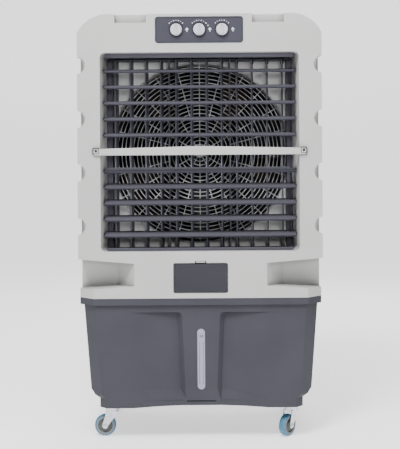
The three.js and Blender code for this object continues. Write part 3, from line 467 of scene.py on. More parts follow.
def add_box(mesh: bmesh.types.BMesh, low: Sequence[float], high: Sequence[float]) -> None:
    """Adds a box between two corners."""
    outline = [(low[0], low[1]), (high[0], low[1]), (high[0], high[1]), (low[0], high[1])]
    add_prism(mesh, outline, low[2], high[2], Axis.Z)


def full_turn(steps: int) -> list[float]:
    """Evenly spaced angles round a circle, in radians."""
    return [2 * math.pi * i / steps for i in range(steps)]


def add_turned(mesh: bmesh.types.BMesh, profile: Sequence[Point], centre: Vector, axis: Axis,
               steps: int = 48, closed: bool = False) -> None:
    """Turns a profile round an axis.

    Args:
        mesh: the mesh to add to.
        profile: radius and distance along the axis, in order.
        centre: a point on the axis, where the distance is 0.
        axis: the axis of turning.
        steps: sides round the axis.
        closed: joins the profile's end to its start instead of capping it.
    """
    rows = []
    for radius, along in profile:
        rows.append([centre + axis.place(radius * math.cos(a), radius * math.sin(a), along)
                     for a in full_turn(steps)])
    add_grid(mesh, rows, wrap_rows=closed, caps=not closed)


def add_tube(mesh: bmesh.types.BMesh, path: Sequence[Vector], radius: float, sides: int = 8,
             closed: bool = False) -> None:
    """Sweeps a round section along a path of points.

    Args:
        mesh: the mesh to add to.
        path: the middle line.
        radius: the section's radius.
        sides: how many sides the section has.
        closed: joins the path's end to its start instead of capping it.
    """
    rows = []
    count = len(path)
    for i, point in enumerate(path):
        before = path[i - 1] if closed or i > 0 else point
        after = path[(i + 1) % count] if closed or i + 1 < count else point
        direction = (after - before).normalized()
        helper = Vector((0, 1, 0)) if abs(direction.y) < 0.9 else Vector((1, 0, 0))
        across = direction.cross(helper).normalized()
        up = direction.cross(across).normalized()
        rows.append([point + radius * (math.cos(a) * across + math.sin(a) * up)
                     for a in full_turn(sides)])
    add_grid(mesh, rows, wrap_rows=closed, caps=not closed)


def arc(centre: Point, radius: float, start: float, end: float, steps: int) -> list[Point]:
    """Points on an arc, angles in degrees."""
    angles = [math.radians(start + (end - start) * i / steps) for i in range(steps + 1)]
    return [(centre[0] + radius * math.cos(a), centre[1] + radius * math.sin(a)) for a in angles]


def rounded_rect(u0: float, u1: float, v0: float, v1: float, radius: float,
                 steps: int = 8) -> list[Point]:
    """Rectangle outline with round corners, anticlockwise.

    Args:
        u0: left edge.
        u1: right edge.
        v0: lower edge.
        v1: upper edge.
        radius: radius of the corners.
        steps: stretches in each corner.

    Returns:
        The outline's points.
    """
    corners = [((u1 - radius, v1 - radius), 0), ((u0 + radius, v1 - radius), 90),
               ((u0 + radius, v0 + radius), 180), ((u1 - radius, v0 + radius), 270)]
    return [point for centre, turn in corners for point in arc(centre, radius, turn, turn + 90, steps)]


@dataclass
class Piece:
    """One visible piece on its way into the scene."""

    name: str
    finish: Finish
    slot: str
    body: str = BODY
    replaces: tuple[str, ...] = ()
    bevel_mm: float = 0.0
    bevel_angle: float = 32.0
    bevel_steps: int = 2
    smooth: bool = True

    def publish(self, mesh: bmesh.types.BMesh) -> bpy.types.Object:
        """Turns the mesh into an object that rides on its body.

        Args:
            mesh: the finished shape, which is used up.

        Returns:
            The new object.
        """
        bmesh.ops.recalc_face_normals(mesh, faces=mesh.faces)
        data = bpy.data.meshes.new(self.name)
        mesh.to_mesh(data)
        mesh.free()
        piece = bpy.data.objects.new(self.name, data)
        bpy.context.scene.collection.objects.link(piece)
        self.dress(piece)
        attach(piece, self.body)
        if self.replaces:
            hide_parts(*self.replaces)
        log.info("piece %s on %s: %d faces", self.name, self.body, len(data.polygons))
        return piece

    def dress(self, piece: bpy.types.Object) -> None:
        """Sets the piece's material, shading and edge rounding."""
        piece.data.materials.clear()
        piece.data.materials.append(self.finish.material())
        for polygon in piece.data.polygons:
            polygon.material_index = 0
            polygon.use_smooth = self.smooth
        if self.bevel_mm > 0:
            bevel = piece.modifiers.new("edge_radius", "BEVEL")
            bevel.width = self.bevel_mm * MM
            bevel.segments = self.bevel_steps
            bevel.limit_method = "ANGLE"
            bevel.angle_limit = math.radians(self.bevel_angle)
            bevel.harden_normals = False
            weighted = piece.modifiers.new("flat_faces", "WEIGHTED_NORMAL")
            weighted.keep_sharp = False
            weighted.weight = 80     # flat faces win over their rounded edges

    def refine(self, node: str) -> bpy.types.Object:
        """Copies a CAD node's faceted solid, merges its flat faces and rounds its edges.

        Args:
            node: the CAD node that the piece stands for.

        Returns:
            The new object.
        """
        mesh = new_mesh()
        mesh.from_mesh(frame["nodes"][node].data)
        bmesh.ops.remove_doubles(mesh, verts=mesh.verts, dist=0.02 * MM)
        bmesh.ops.dissolve_limit(mesh, angle_limit=math.radians(0.8), verts=mesh.verts,
                                 edges=mesh.edges, use_dissolve_boundaries=False)
        self.replaces = (node,)
        return self.publish(mesh)


# ------------------------------------------------------------------ casing


@dataclass
class Casing:
    """Light grey front frame and housing."""

    edge_mm: float = 1.6
    screw_radius: float = 4 * MM
    screw_plate: float = 16 * MM
    screw_line: float = 1.8 * MM
    screw_inset: float = 11 * MM

    def build(self) -> None:
        """Builds the frame, the housing and the crossbar with its screws."""
        Piece("front_frame_moulding", LIGHT_ABS, "light_housing", bevel_mm=self.edge_mm,
              bevel_angle=28).refine("front_frame")
        Piece("upper_housing_moulding", LIGHT_ABS, "light_housing", bevel_mm=1.2).refine("upper_housing")
        Piece("crossbar_moulding", LIGHT_ABS, "light_housing", bevel_mm=1.5,
              bevel_steps=3).refine("crossbar")
        low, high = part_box("crossbar")
        for side, x in (("left", low.x + self.screw_inset), ("right", high.x - self.screw_inset)):
            self.screw(f"crossbar_screw_{side}", Vector((x, low.y, (low.z + high.z) / 2)))

    def screw(self, name: str, head: Vector) -> None:
        """Adds a domed screw that faces the front, with a thin square line round it.

        Args:
            name: the piece's name.
            head: the middle of the screw's seat.
        """
        mesh = new_mesh()
        radius = self.screw_radius
        dome = [(radius, 1 * MM), (radius, -0.6 * MM), (radius * 0.8, -1.6 * MM),
                (radius * 0.35, -2.1 * MM)]
        add_turned(mesh, dome, head, Axis.Y, steps=24)
        half, line = self.screw_plate / 2, self.screw_line
        around = [(head.x - half, head.z - half), (head.x + half, head.z - half),
                  (head.x + half, head.z + half), (head.x - half, head.z + half)]
        for (x0, z0), (x1, z1) in zip(around, around[1:] + around[:1]):
            low = (min(x0, x1) - line / 2, head.y - 0.15 * MM, min(z0, z1) - line / 2)
            high = (max(x0, x1) + line / 2, head.y + 0.3 * MM, max(z0, z1) + line / 2)
            add_box(mesh, low, high)
        Piece(name, DARK_SCREW, "zinc").publish(mesh)


# ------------------------------------------------------------------ air outlet


@dataclass
class AirOutlet:
    """Louvres, vanes, their links and the dark frame that carries them."""

    louvre_chord: float = 45 * MM
    louvre_thickness: float = 6.5 * MM
    louvre_end: float = 6 * MM          # from the blade's end to the pin's end
    pin_radius: float = 3 * MM
    collar_radius: float = 4.6 * MM
    link_pin_radius: float = 1.5 * MM
    upper_tilt: float = 15.5
    lower_tilt: float = 20.0
    bank: int = 5
    vane_chord: float = 40 * MM
    vane_thickness: float = 2.6 * MM
    vane_swing: float = -10.5
    nose_radius: float = 1.7 * MM
    crank: float = 16 * MM
    notch_half: float = 4.5 * MM
    notch_inset: float = 7 * MM
    lug_radius: float = 5 * MM
    lug_height: float = 10 * MM
    vane_headroom: float = 12.7 * MM    # from the blade's top to the top of its frame
    vane_footroom: float = 3.3 * MM     # from the lower pin's end to the blade

    def build(self) -> None:
        """Builds every louvre and vane, then the plain pieces behind them."""
        for number in range(1, 2 * self.bank + 1):
            tilt = self.upper_tilt if number <= self.bank else self.lower_tilt
            self.louvre(f"louvre_{number}", tilt)
        vanes = [node for node in frame["nodes"] if node.startswith("vane_") and node[5:].isdigit()]
        for node in sorted(vanes, key=lambda name: int(name[5:])):
            self.vane(node)
        Piece("vane_frame_moulding", VANE_ABS, "dark_louvre", bevel_mm=0.6).refine("vane_frame")
        for node in ("louvre_link_upper", "louvre_link_lower", "vane_link"):
            Piece(f"{node}_bar", LOUVRE_ABS, "dark_louvre", body=node, bevel_mm=0.4).refine(node)

    def louvre(self, node: str, tilt: float) -> None:
        """One louvre: an aerofoil with a full round nose, and its two pivot pins.

        Args:
            node: the louvre's CAD node.
            tilt: how far it stands tilted at rest, in degrees.
        """
        pivot = JOINT_PLACES[f"{node}_tilt"]
        low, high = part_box(node)
        half = (high.x - low.x) / 2 - self.louvre_end
        chord, thick = self.louvre_chord / 2, self.louvre_thickness / 2
        nose = arc((-chord + thick, 0), thick, 90, 270, 10)
        back = [(chord * t, -thick * (1 - t ** 1.6) - 0.8 * MM * t ** 1.6)
                for t in (0, 0.25, 0.5, 0.75, 1)]
        outline = nose + back + [(u, -v) for u, v in reversed(back)]
        mesh = new_mesh()
        notch = half - self.notch_inset - self.notch_half
        add_prism(mesh, outline, -half, notch - self.notch_half, Axis.X)
        add_prism(mesh, outline, notch + self.notch_half, half, Axis.X)
        front = nose + [(5 * MM, -thick + 0.3 * MM), (5 * MM, thick - 0.3 * MM)]
        add_prism(mesh, front, notch - self.notch_half, notch + self.notch_half, Axis.X)
        reach = self.notch_half + 2 * MM
        link_pin = [(self.link_pin_radius, notch - reach), (self.link_pin_radius, notch + reach)]
        add_turned(mesh, link_pin, Vector((0, self.crank, 0)), Axis.X, steps=12)
        thin, wide = self.pin_radius, self.collar_radius
        pin = [(thin, -half - 5 * MM), (thin, -half - 1.2 * MM), (wide, -half - 1.2 * MM),
               (wide, -half + 1 * MM)]
        add_turned(mesh, pin, Vector(), Axis.X, steps=16)
        add_turned(mesh, [(r, -a) for r, a in pin], Vector(), Axis.X, steps=16)
        turn = Matrix.Translation((0, pivot.y, pivot.z)) @ Matrix.Rotation(math.radians(tilt), 4, "X")
        mesh.transform(turn)
        Piece(f"{node}_blade", LOUVRE_ABS, "dark_louvre", body=node, replaces=(node,),
              bevel_mm=0.5, bevel_angle=50).publish(mesh)

    def vane(self, node: str) -> None:
        """One upright vane with its pivots, a lug at each end and a bead on its nose in painted highlight.

        Args:
            node: the vane's CAD node.
        """
        pivot = JOINT_PLACES[f"{node}_swing"]
        low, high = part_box(node)
        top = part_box("vane_frame")[1].z - self.vane_headroom
        bottom = low.z + self.vane_footroom
        chord, thick = self.vane_chord / 2, self.vane_thickness / 2
        nose = arc((0, -chord + thick), thick, 180, 360, 8)
        outline = nose + [(0.7 * MM, chord), (-0.7 * MM, chord)]
        mesh = new_mesh()
        add_prism(mesh, outline, bottom, top, Axis.Z)
        for lug_low, lug_high in ((bottom, bottom + self.lug_height), (top - self.lug_height, top)):
            add_turned(mesh, [(self.lug_radius, lug_low), (self.lug_radius, lug_high)], Vector(),
                       Axis.Z, steps=20)
        add_turned(mesh, [(2.5 * MM, low.z), (2.5 * MM, high.z - 5 * MM)], Vector(), Axis.Z, steps=16)
        plate = top + 3.6 * MM
        add_box(mesh, (-3 * MM, -3 * MM, plate), (3 * MM, 16 * MM, plate + 3 * MM))
        add_turned(mesh, [(self.link_pin_radius, plate), (self.link_pin_radius, high.z)],
                   Vector((0, 13 * MM, 0)), Axis.Z, steps=12)
        swing = Matrix.Rotation(math.radians(self.vane_swing), 4, "Z")
        turn = Matrix.Translation((pivot.x, pivot.y, 0)) @ swing
        mesh.transform(turn)
        Piece(f"{node}_blade", VANE_ABS, "dark_louvre", body=node, replaces=(node,),
              bevel_mm=0.3, bevel_angle=50).publish(mesh)
        # painted highlight: pale bead along the front edge of the vane
        bead = new_mesh()
        ends = [(self.nose_radius, bottom + 0.5 * MM), (self.nose_radius, top - 0.5 * MM)]
        add_turned(bead, ends, Vector((0, -chord + self.nose_radius, 0)), Axis.Z, steps=16)
        bead.transform(turn)
        Piece(f"{node}_nose", VANE_NOSE_HIGHLIGHT, "dark_louvre", body=node).publish(bead)


# ------------------------------------------------------------------ fan


@dataclass
class FanUnit:
    """Fan plate, wire guard, impeller and motor."""

    ring_pitch: float = 12 * MM
    wire_radius: float = 1.3 * MM
    spoke_count: int = 24
    open_rings: int = 15
    guard_hub: float = 15 * MM
    blade_count: int = 5
    blade_sections: int = 10
    blade_root: float = 50 * MM
    hub_radius: float = 55 * MM
    hub_half_depth: float = 26 * MM
    root_pitch: float = 34.0
    pitch_fall: float = 20.0            # degrees of pitch lost from root to tip
    root_chord: float = 84.0            # mm
    chord_gain: float = 150.0           # mm of chord gained from root to tip

    def build(self) -> None:
        """Builds the unit from front to back."""
        low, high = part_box("fan_guard")
        self.centre = (low + high) / 2
        self.radius = (high.x - low.x) / 2
        Piece("fan_plate_moulding", PLATE_ABS, "light_housing", bevel_mm=1.0).refine("fan_plate")
        self.guard()
        self.impeller()
        Piece("motor_bracket_bars", ENAMEL, "motor_paint", bevel_mm=0.8).refine("motor_bracket")
        Piece("fan_motor_case", ENAMEL, "motor_paint", bevel_mm=1.5).refine("fan_motor")
        Piece("swing_motor_case", ENAMEL, "motor_paint", bevel_mm=1.5).refine("swing_motor")

    def guard(self) -> None:
        """Concentric wires welded to radial ones, with a plain disc in the middle."""
        mesh = new_mesh()
        outer = self.radius - 1.5 * MM
        hub = self.guard_hub
        rings = int((outer - hub) / self.ring_pitch)
        for ring in range(rings + 1):
            radius = outer - ring * self.ring_pitch
            path = [self.centre + Vector((radius * math.cos(a), 0, radius * math.sin(a)))
                    for a in full_turn(96)]
            add_tube(mesh, path, self.wire_radius, sides=6, closed=True)
        for spoke, angle in enumerate(full_turn(self.spoke_count)):
            out = Vector((math.cos(angle), 0, math.sin(angle)))
            drop = Vector((0, self.wire_radius * 0.3, 0))
            start = hub - 4 * MM if spoke % 2 == 0 else outer - self.open_rings * self.ring_pitch
            ends = [self.centre + drop + out * start, self.centre + drop + out * outer]
            add_tube(mesh, ends, self.wire_radius * 1.1, sides=8)
        disc = [(hub, -1.2 * MM), (hub, 1.2 * MM)]
        add_turned(mesh, disc, self.centre, Axis.Y, steps=48)
        Piece("fan_guard_wires", GUARD_COAT, "guard_wire", replaces=("fan_guard",)).publish(mesh)

    def impeller(self) -> None:
        """Hub with a domed nose and swept, twisted blades."""
        low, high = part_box("fan_impeller")
        tip = (high.x - low.x) / 2
        middle = Vector((0, (low.y + high.y) / 2, self.centre.z))
        half = self.hub_half_depth
        mesh = new_mesh()
        dome = [(4 * MM, -half - 2 * MM), (30 * MM, -half), (48 * MM, -half + 8 * MM),
                (self.hub_radius, -half + 20 * MM), (self.hub_radius, half)]
        add_turned(mesh, dome, middle, Axis.Y, steps=64)
        for angle in full_turn(self.blade_count):
            self.blade(mesh, Matrix.Rotation(angle, 4, "Y"), middle, tip)
        Piece("fan_impeller_moulding", BLACK_PP, "black_plastic", body="fan", replaces=("fan_impeller",),
              bevel_mm=0.6, bevel_angle=60).publish(mesh)

    def blade(self, mesh: bmesh.types.BMesh, turn: Matrix, middle: Vector, tip: float) -> None:
        """Adds one blade: sections from hub to tip, wide, flat and swept at the tip.

        Args:
            mesh: the mesh to add to.
            turn: where the blade stands round the shaft.
            middle: the hub's middle.
            tip: radius of the impeller.
        """
        outline = [(-1, 0), (-0.5, 1), (0, 1.2), (0.5, 1), (1, 0), (0.5, -0.2), (0, 0), (-0.5, -0.2)]
        rows = []
        for i in range(self.blade_sections + 1):
            share = i / self.blade_sections
            radius = self.blade_root + (tip - 52 * MM) * share
            pitch = math.radians(self.root_pitch - self.pitch_fall * share)
            chord = (self.root_chord + self.chord_gain * share) * MM
            sweep = 0.16 * share * share
            row = []
            for u, v in outline:
                angle = math.pi / 2 + sweep + (u * chord / 2 * math.cos(pitch)) / radius
                depth = -u * chord / 2 * math.sin(pitch) + v * 2.2 * MM + 7 * MM * (1 - u * u) * 0.6
                spot = Vector((radius * math.cos(angle), depth, radius * math.sin(angle)))
                row.append(turn @ spot + middle)
            rows.append(row)
        add_grid(mesh, rows, caps=True)


# ------------------------------------------------------------------ controls


@dataclass
class Controls:
    """Control panel, its three knobs, dials and printed marks, and the fill door."""

    knob_radius: float = 17.5 * MM
    dish_radius: float = 24 * MM
    tick_count: int = 7
    door_half: float = 77.5 * MM
    gap_shadow_inset: float = 1.3 * MM          # from the door's edge to the inner edge of the painted gap shadow
    gap_shadow_reach: float = 3.1 * MM        # from the door's edge to the outer edge of the painted gap shadow
    gap_shadow_corner: float = 4 * MM
    latch_half: float = 13.5 * MM
    latch_shadow_half: float = 16.4 * MM
    rim_inset: float = 2.2 * MM
    rim_radius: float = 1.3 * MM
    tick_gap: float = 3.4 * MM

    def build(self) -> None:
        """Builds the panel, then each knob with its dial."""
        low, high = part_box("control_panel")
        self.face = low.y
        Piece("control_panel_plate", PANEL_ABS, "panel_grey", bevel_mm=0.8).refine("control_panel")
        self.rim("control_panel_rim", low, high, PANEL_ABS)
        for name in ("speed", "cool", "swing"):
            self.knob(name, JOINT_PLACES[f"{name}_knob_turn"])
        self.latch()
        self.gap_shadow()
        Piece("fill_door_leaf", DOOR_ABS, "panel_grey", body="fill_door",
              bevel_mm=0.8).refine("fill_door")

    def gap_shadow(self) -> None:
        """Black ring let into the frame round the fill door, as painted shadow of the gap round the door."""
        low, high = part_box("fill_door")
        low.x, high.x = -self.door_half, self.door_half
        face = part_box("front_frame")[0].y
        # painted shadow: a black ring on the frame face stands in for the shaded gap round the door
        mesh = new_mesh()
        front, back = face - 0.15 * MM, face + 0.6 * MM
        rows = []
        for grow, depth in ((self.gap_shadow_inset, front), (self.gap_shadow_reach, front),
                            (self.gap_shadow_reach, back), (self.gap_shadow_inset, back)):
            outline = rounded_rect(low.x - grow, high.x + grow, low.z - grow, high.z + grow,
                                   self.gap_shadow_corner + grow)
            rows.append([Axis.Y.place(u, v, depth) for u, v in outline])
        add_grid(mesh, rows, wrap_rows=True)
        Piece("fill_door_gasket", BLACK_PP, "black_plastic").publish(mesh)

    def latch(self) -> None:
        """Spring tab over the fill door, in front of a darker plate in its slot that is painted shadow."""
        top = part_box("fill_door")[1].z
        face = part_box("front_frame")[0].y
        outline = rounded_rect(-self.latch_half, self.latch_half, top + 3.9 * MM, top + 7.6 * MM,
                               1.5 * MM)
        mesh = new_mesh()
        add_prism(mesh, outline, face - 0.6 * MM, face + 1.7 * MM, Axis.Y)
        Piece("fill_door_latch", LIGHT_ABS, "light_housing", bevel_mm=0.5).publish(mesh)
        # painted shadow: a darker plate at the bottom of the tab's slot stands in for the shade round the tab
        slot = new_mesh()
        outline = rounded_rect(-self.latch_shadow_half, self.latch_shadow_half, top + 0.6 * MM, top + 8.6 * MM,
                               2.5 * MM)
        add_prism(slot, outline, face + 1.3 * MM, face + 1.9 * MM, Axis.Y)
        Piece("fill_door_latch_shadow", DOOR_ABS, "panel_grey").publish(slot)

    def rim(self, name: str, low: Vector, high: Vector, finish: Finish) -> None:
        """Thin raised lip round the panel's edge.

        Args:
            name: the piece's name.
            low: the panel's lower left corner.
            high: the panel's upper right corner.
            finish: the lip's finish.
        """
        inset = self.rim_inset
        outline = rounded_rect(low.x + inset, high.x - inset, low.z + inset, high.z - inset, 6 * MM)
        mesh = new_mesh()
        path = [Vector((u, self.face, v)) for u, v in outline]
        add_tube(mesh, path, self.rim_radius, sides=8, closed=True)
        Piece(name, finish, "panel_grey").publish(mesh)

    def knob(self, name: str, seat: Vector) -> None:
        """One knob with a grip bar, over a dished ring, with its ticks and arrow.

        Args:
            name: which control it is.
            seat: the middle of the knob's axis.
        """
        knob_node = f"{name}_knob"
        low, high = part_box(knob_node)
        centre = Vector((seat.x, 0, seat.z))
        radius = self.knob_radius
        front = low.y + 4 * MM
        mesh = new_mesh()
        profile = [(4 * MM, high.y), (4 * MM, self.face + 0.9 * MM), (radius, self.face + 0.9 * MM),
                   (radius * 0.97, front + 2.5 * MM), (radius * 0.93, front + 0.8 * MM),
                   (radius * 0.86, front), (radius * 0.5, front - 0.3 * MM), (1 * MM, front - 0.4 * MM)]
        add_turned(mesh, profile, centre, Axis.Y, steps=64)
        bar = rounded_rect(-3.2 * MM, 3.2 * MM, -radius * 0.88, radius * 0.88, 3 * MM, 6)
        wide = [Vector((u, front + 1 * MM, v)) + centre for u, v in bar]
        narrow = [Vector((u * 0.7, low.y, v * 0.94)) + centre for u, v in bar]
        add_grid(mesh, [wide, narrow], caps=True)
        Piece(f"{knob_node}_cap", KNOB_ABS, "knob_lilac", body=knob_node, replaces=(knob_node,),
              bevel_mm=0.4, bevel_angle=40).publish(mesh)
        self.pointer(knob_node, centre, low.y)
        self.dish(name, centre)
        self.marks(name, centre)

    def pointer(self, knob_node: str, centre: Vector, face: float) -> None:
        """Dark line on the grip bar that shows where the knob stands.

        Args:
            knob_node: the body that the line rides on.
            centre: the knob's axis, at y = 0.
            face: how far forward the grip bar reaches.
        """
        mesh = new_mesh()
        top = centre + Vector((0, 0, self.knob_radius * 0.74))
        add_box(mesh, (top.x - 0.8 * MM, face - 0.15 * MM, top.z - 6 * MM),
                (top.x + 0.8 * MM, face + 0.6 * MM, top.z))
        Piece(f"{knob_node}_pointer", DOOR_ABS, "panel_grey", body=knob_node).publish(mesh)

    def dish(self, name: str, centre: Vector) -> None:
        """Ring with a hollowed face that frames the knob."""
        mesh = new_mesh()
        inner, outer = self.knob_radius + 1.4 * MM, self.dish_radius
        profile = [(inner, self.face + 1.0 * MM), (inner, self.face + 0.2 * MM),
                   ((inner + outer) / 2, self.face - 0.2 * MM), (outer - 0.8 * MM, self.face - 0.9 * MM),
                   (outer, self.face - 0.4 * MM), (outer, self.face + 1.0 * MM)]
        add_turned(mesh, profile, centre, Axis.Y, steps=64, closed=True)
        Piece(f"{name}_dial_ring", PANEL_ABS, "panel_grey").publish(mesh)

    def marks(self, name: str, centre: Vector) -> None:
        """Printed ticks over the dial and an arrow beside it.

        Args:
            name: which control it is; the cooling knob has two dots more.
            centre: the knob's axis, at y = 0.
        """
        face = self.face - 0.12 * MM
        mesh = new_mesh()
        for tick in range(self.tick_count):
            angle = math.radians(135 - 90 * tick / (self.tick_count - 1))
            radius = self.dish_radius + self.tick_gap
            middle = Vector((radius * math.cos(angle), 0, radius * math.sin(angle))) + centre
            size = (1.8 if tick % 2 else 2.6) * MM
            add_turned(mesh, [(size * 0.6, face), (size * 0.6, self.face + 0.1 * MM)],
                       Vector((middle.x, 0, middle.z)), Axis.Y, steps=16)
        for angle_deg in (25, 40) if name == "cool" else ():
            angle = math.radians(angle_deg)
            radius = self.dish_radius + 5 * MM
            spot = centre + Vector((radius * math.cos(angle), 0, radius * math.sin(angle)))
            add_turned(mesh, [(1.5 * MM, face), (1.5 * MM, self.face + 0.1 * MM)],
                       Vector((spot.x, 0, spot.z)), Axis.Y, steps=16)
        tip = centre + Vector((self.dish_radius + 8 * MM, 0, 6 * MM))
        arrow = [(0, 0), (-6, -6.5), (-2, -6.5), (-2, -12), (2, -12), (2, -6.5), (6, -6.5)]
        placed = [(u * MM + tip.x, v * MM + tip.z) for u, v in arrow]
        add_prism(mesh, placed, face, self.face + 0.1 * MM, Axis.Y)
        Piece(f"{name}_dial_print", PRINT, "knob_lilac").publish(mesh)


# ------------------------------------------------------------------ tank


@dataclass
class Tank:
    """Water tank with its window, float and drain cap."""

    window_thickness: float = 3 * MM
    # each mark's middle, half width, and room under and over it
    ribs: tuple = ((-5 * MM, 0.9 * MM, 16 * MM, 40 * MM), (6 * MM, 0.9 * MM, 16 * MM, 40 * MM),
                   (0.5 * MM, 5.2 * MM, 156 * MM, 18 * MM))

    def build(self) -> None:
        """Builds the tank and what is fitted to it."""
        Piece("water_tank_moulding", TANK_PP, "tank_grey", bevel_mm=1.8, bevel_steps=3,
              bevel_angle=14).refine("water_tank")
        Piece("level_window_strip", WINDOW, "window_clear", bevel_mm=0.8).refine("level_window")
        self.window_marks()
        Piece("level_float_block", FLOAT_FOAM, "float_blue", body="level_float",
              bevel_mm=1.5).refine("level_float")
        Piece("drain_cap_knob", BLACK_PP, "black_plastic", body="drain_cap",
              bevel_mm=1.5).refine("drain_cap")
        Piece("water_pump_case", BLACK_PP, "black_plastic", bevel_mm=2.0).refine("water_pump")
        Piece("water_line_pipe", WHITE_PVC, "pipe_white").refine("water_line")

    def window_marks(self) -> None:
        """Two moulded ribs and a level mark on the frosted face."""
        low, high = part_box("level_window")
        slope = (high.y - self.window_thickness - low.y) / (high.z - low.z)
        mesh = new_mesh()
        for x, half, bottom, top in self.ribs:
            section = ((-half, 0), (half, 0), (half, 0.5 * MM), (-half, 0.5 * MM))
            rows = []
            for z in (low.z + bottom, high.z - top):
                end = Vector((0, low.y + slope * (high.z - z) - 0.1 * MM, z))
                rows.append([end + Vector((x + dx, dy, 0)) for dx, dy in section])
            add_grid(mesh, rows, caps=True)
        Piece("level_window_ribs", WINDOW_RIB, "window_clear").publish(mesh)


# ------------------------------------------------------------------ filters


@dataclass
class Filter:
    """Grille and wet pad of one side."""

    side: str
    outward: Vector
    slat_pitch: float = 15.5 * MM
    slat_reach: float = 9.6 * MM
    border: float = 21 * MM
    notch_run: float = 55 * MM          # the side grilles' lower front corner is cut away
    notch_height: float = 108 * MM
    flute_pitch: float = 14 * MM
    flute_depth: float = 4 * MM
    pad_cells: float = 3.5 * MM

    def build(self) -> None:
        """Builds the grille's frame, its fine slats and the pad."""
        body = f"{self.side}_filter"
        Piece(f"{self.side}_grille_frame", LIGHT_ABS, "light_housing", body=body,
              bevel_mm=0.8).refine(f"{self.side}_grille")
        self.slats(body)
        self.pad(body)

    def across(self, low: Vector, high: Vector) -> tuple[float, float]:
        """The grille's extent along its horizontal run."""
        return (low.x, high.x) if abs(self.outward.y) > 0.5 else (low.y, high.y)

    def point(self, run: float, out: float, z: float) -> Vector:
        """Point at a distance along the run and outwards."""
        if abs(self.outward.y) > 0.5:
            return Vector((run, out, z))
        return Vector((out, run, z))

    def slats(self, body: str) -> None:
        """Thin slanting slats between the frame's ribs.

        Args:
            body: the body that the slats ride on.
        """
        low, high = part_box(f"{self.side}_grille")
        start, end = self.across(low, high)
        border = self.border
        sign = self.outward.x + self.outward.y
        inner = (low if sign > 0 else high) @ Vector([abs(c) for c in self.outward])
        mesh = new_mesh()
        span = high.z - low.z - 2 * border
        count = round(span / self.slat_pitch)
        pitch = span / count
        notch_run = start + self.notch_run
        notch_top = low.z + self.notch_height
        for i in range(count):
            z = low.z + border + pitch * (i + 0.5)
            run0 = start + border
            if self.outward.x and z - 12 * MM < notch_top:
                run0 = notch_run + border / 2
            reach = self.slat_reach if self.outward.x else self.slat_reach - 2 * MM
            near, far = inner + sign * 0.8 * MM, inner + sign * reach
            section = [(near, z + 1 * MM), (far, z - 8 * MM), (far, z - 6.4 * MM), (near, z + 2.6 * MM)]
            rows = [[self.point(run, out, height) for out, height in section]
                    for run in (run0, end - border)]
            add_grid(mesh, rows, caps=True)
        Piece(f"{self.side}_grille_slats", LIGHT_ABS, "light_housing", body=body).publish(mesh)

    def pad(self, body: str) -> None:
        """Block whose outer face shows the crossed flutes of its corrugated paper.

        Args:
            body: the body that the pad rides on.
        """
        low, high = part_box(f"{self.side}_pad")
        start, end = self.across(low, high)
        sign = self.outward.x + self.outward.y
        spans = Vector([abs(c) for c in self.outward])
        inner, outer = (low @ spans, high @ spans) if sign > 0 else (high @ spans, low @ spans)
        columns = int((end - start) / self.pad_cells)
        rows_count = int((high.z - low.z) / self.pad_cells)
        mesh = new_mesh()
        rows = []
        for j in range(rows_count + 1):
            z = low.z + (high.z - low.z) * j / rows_count
            row = []
            for i in range(columns + 1):
                run = start + (end - start) * i / columns
                lean = z if int(run / self.flute_pitch) % 2 else -0.5 * z
                wave = 0.5 + 0.5 * math.sin(2 * math.pi * (z + lean * 0.3 + run * 0.6) / self.flute_pitch)
                edge = i in (0, columns) or j in (0, rows_count)
                drop = 0.0 if edge else self.flute_depth * wave
                row.append(self.point(run, outer - sign * (0.2 * MM + drop), z))
            rows.append(row)
        add_grid(mesh, rows, wrap_columns=False)
        front = [edge for edge in mesh.edges if edge.is_boundary]
        grown = bmesh.ops.extrude_edge_only(mesh, edges=front)
        for item in grown["geom"]:
            if isinstance(item, bmesh.types.BMVert):
                if abs(self.outward.y) > 0.5:
                    item.co.y = inner
                else:
                    item.co.x = inner
        back = [edge for edge in mesh.edges if edge.is_boundary]
        bmesh.ops.contextual_create(mesh, geom=back)
        Piece(f"{self.side}_pad_block", PAPER, "pad_paper", body=body,
              replaces=(f"{self.side}_pad",), smooth=False).publish(mesh)


# ------------------------------------------------------------------ casters


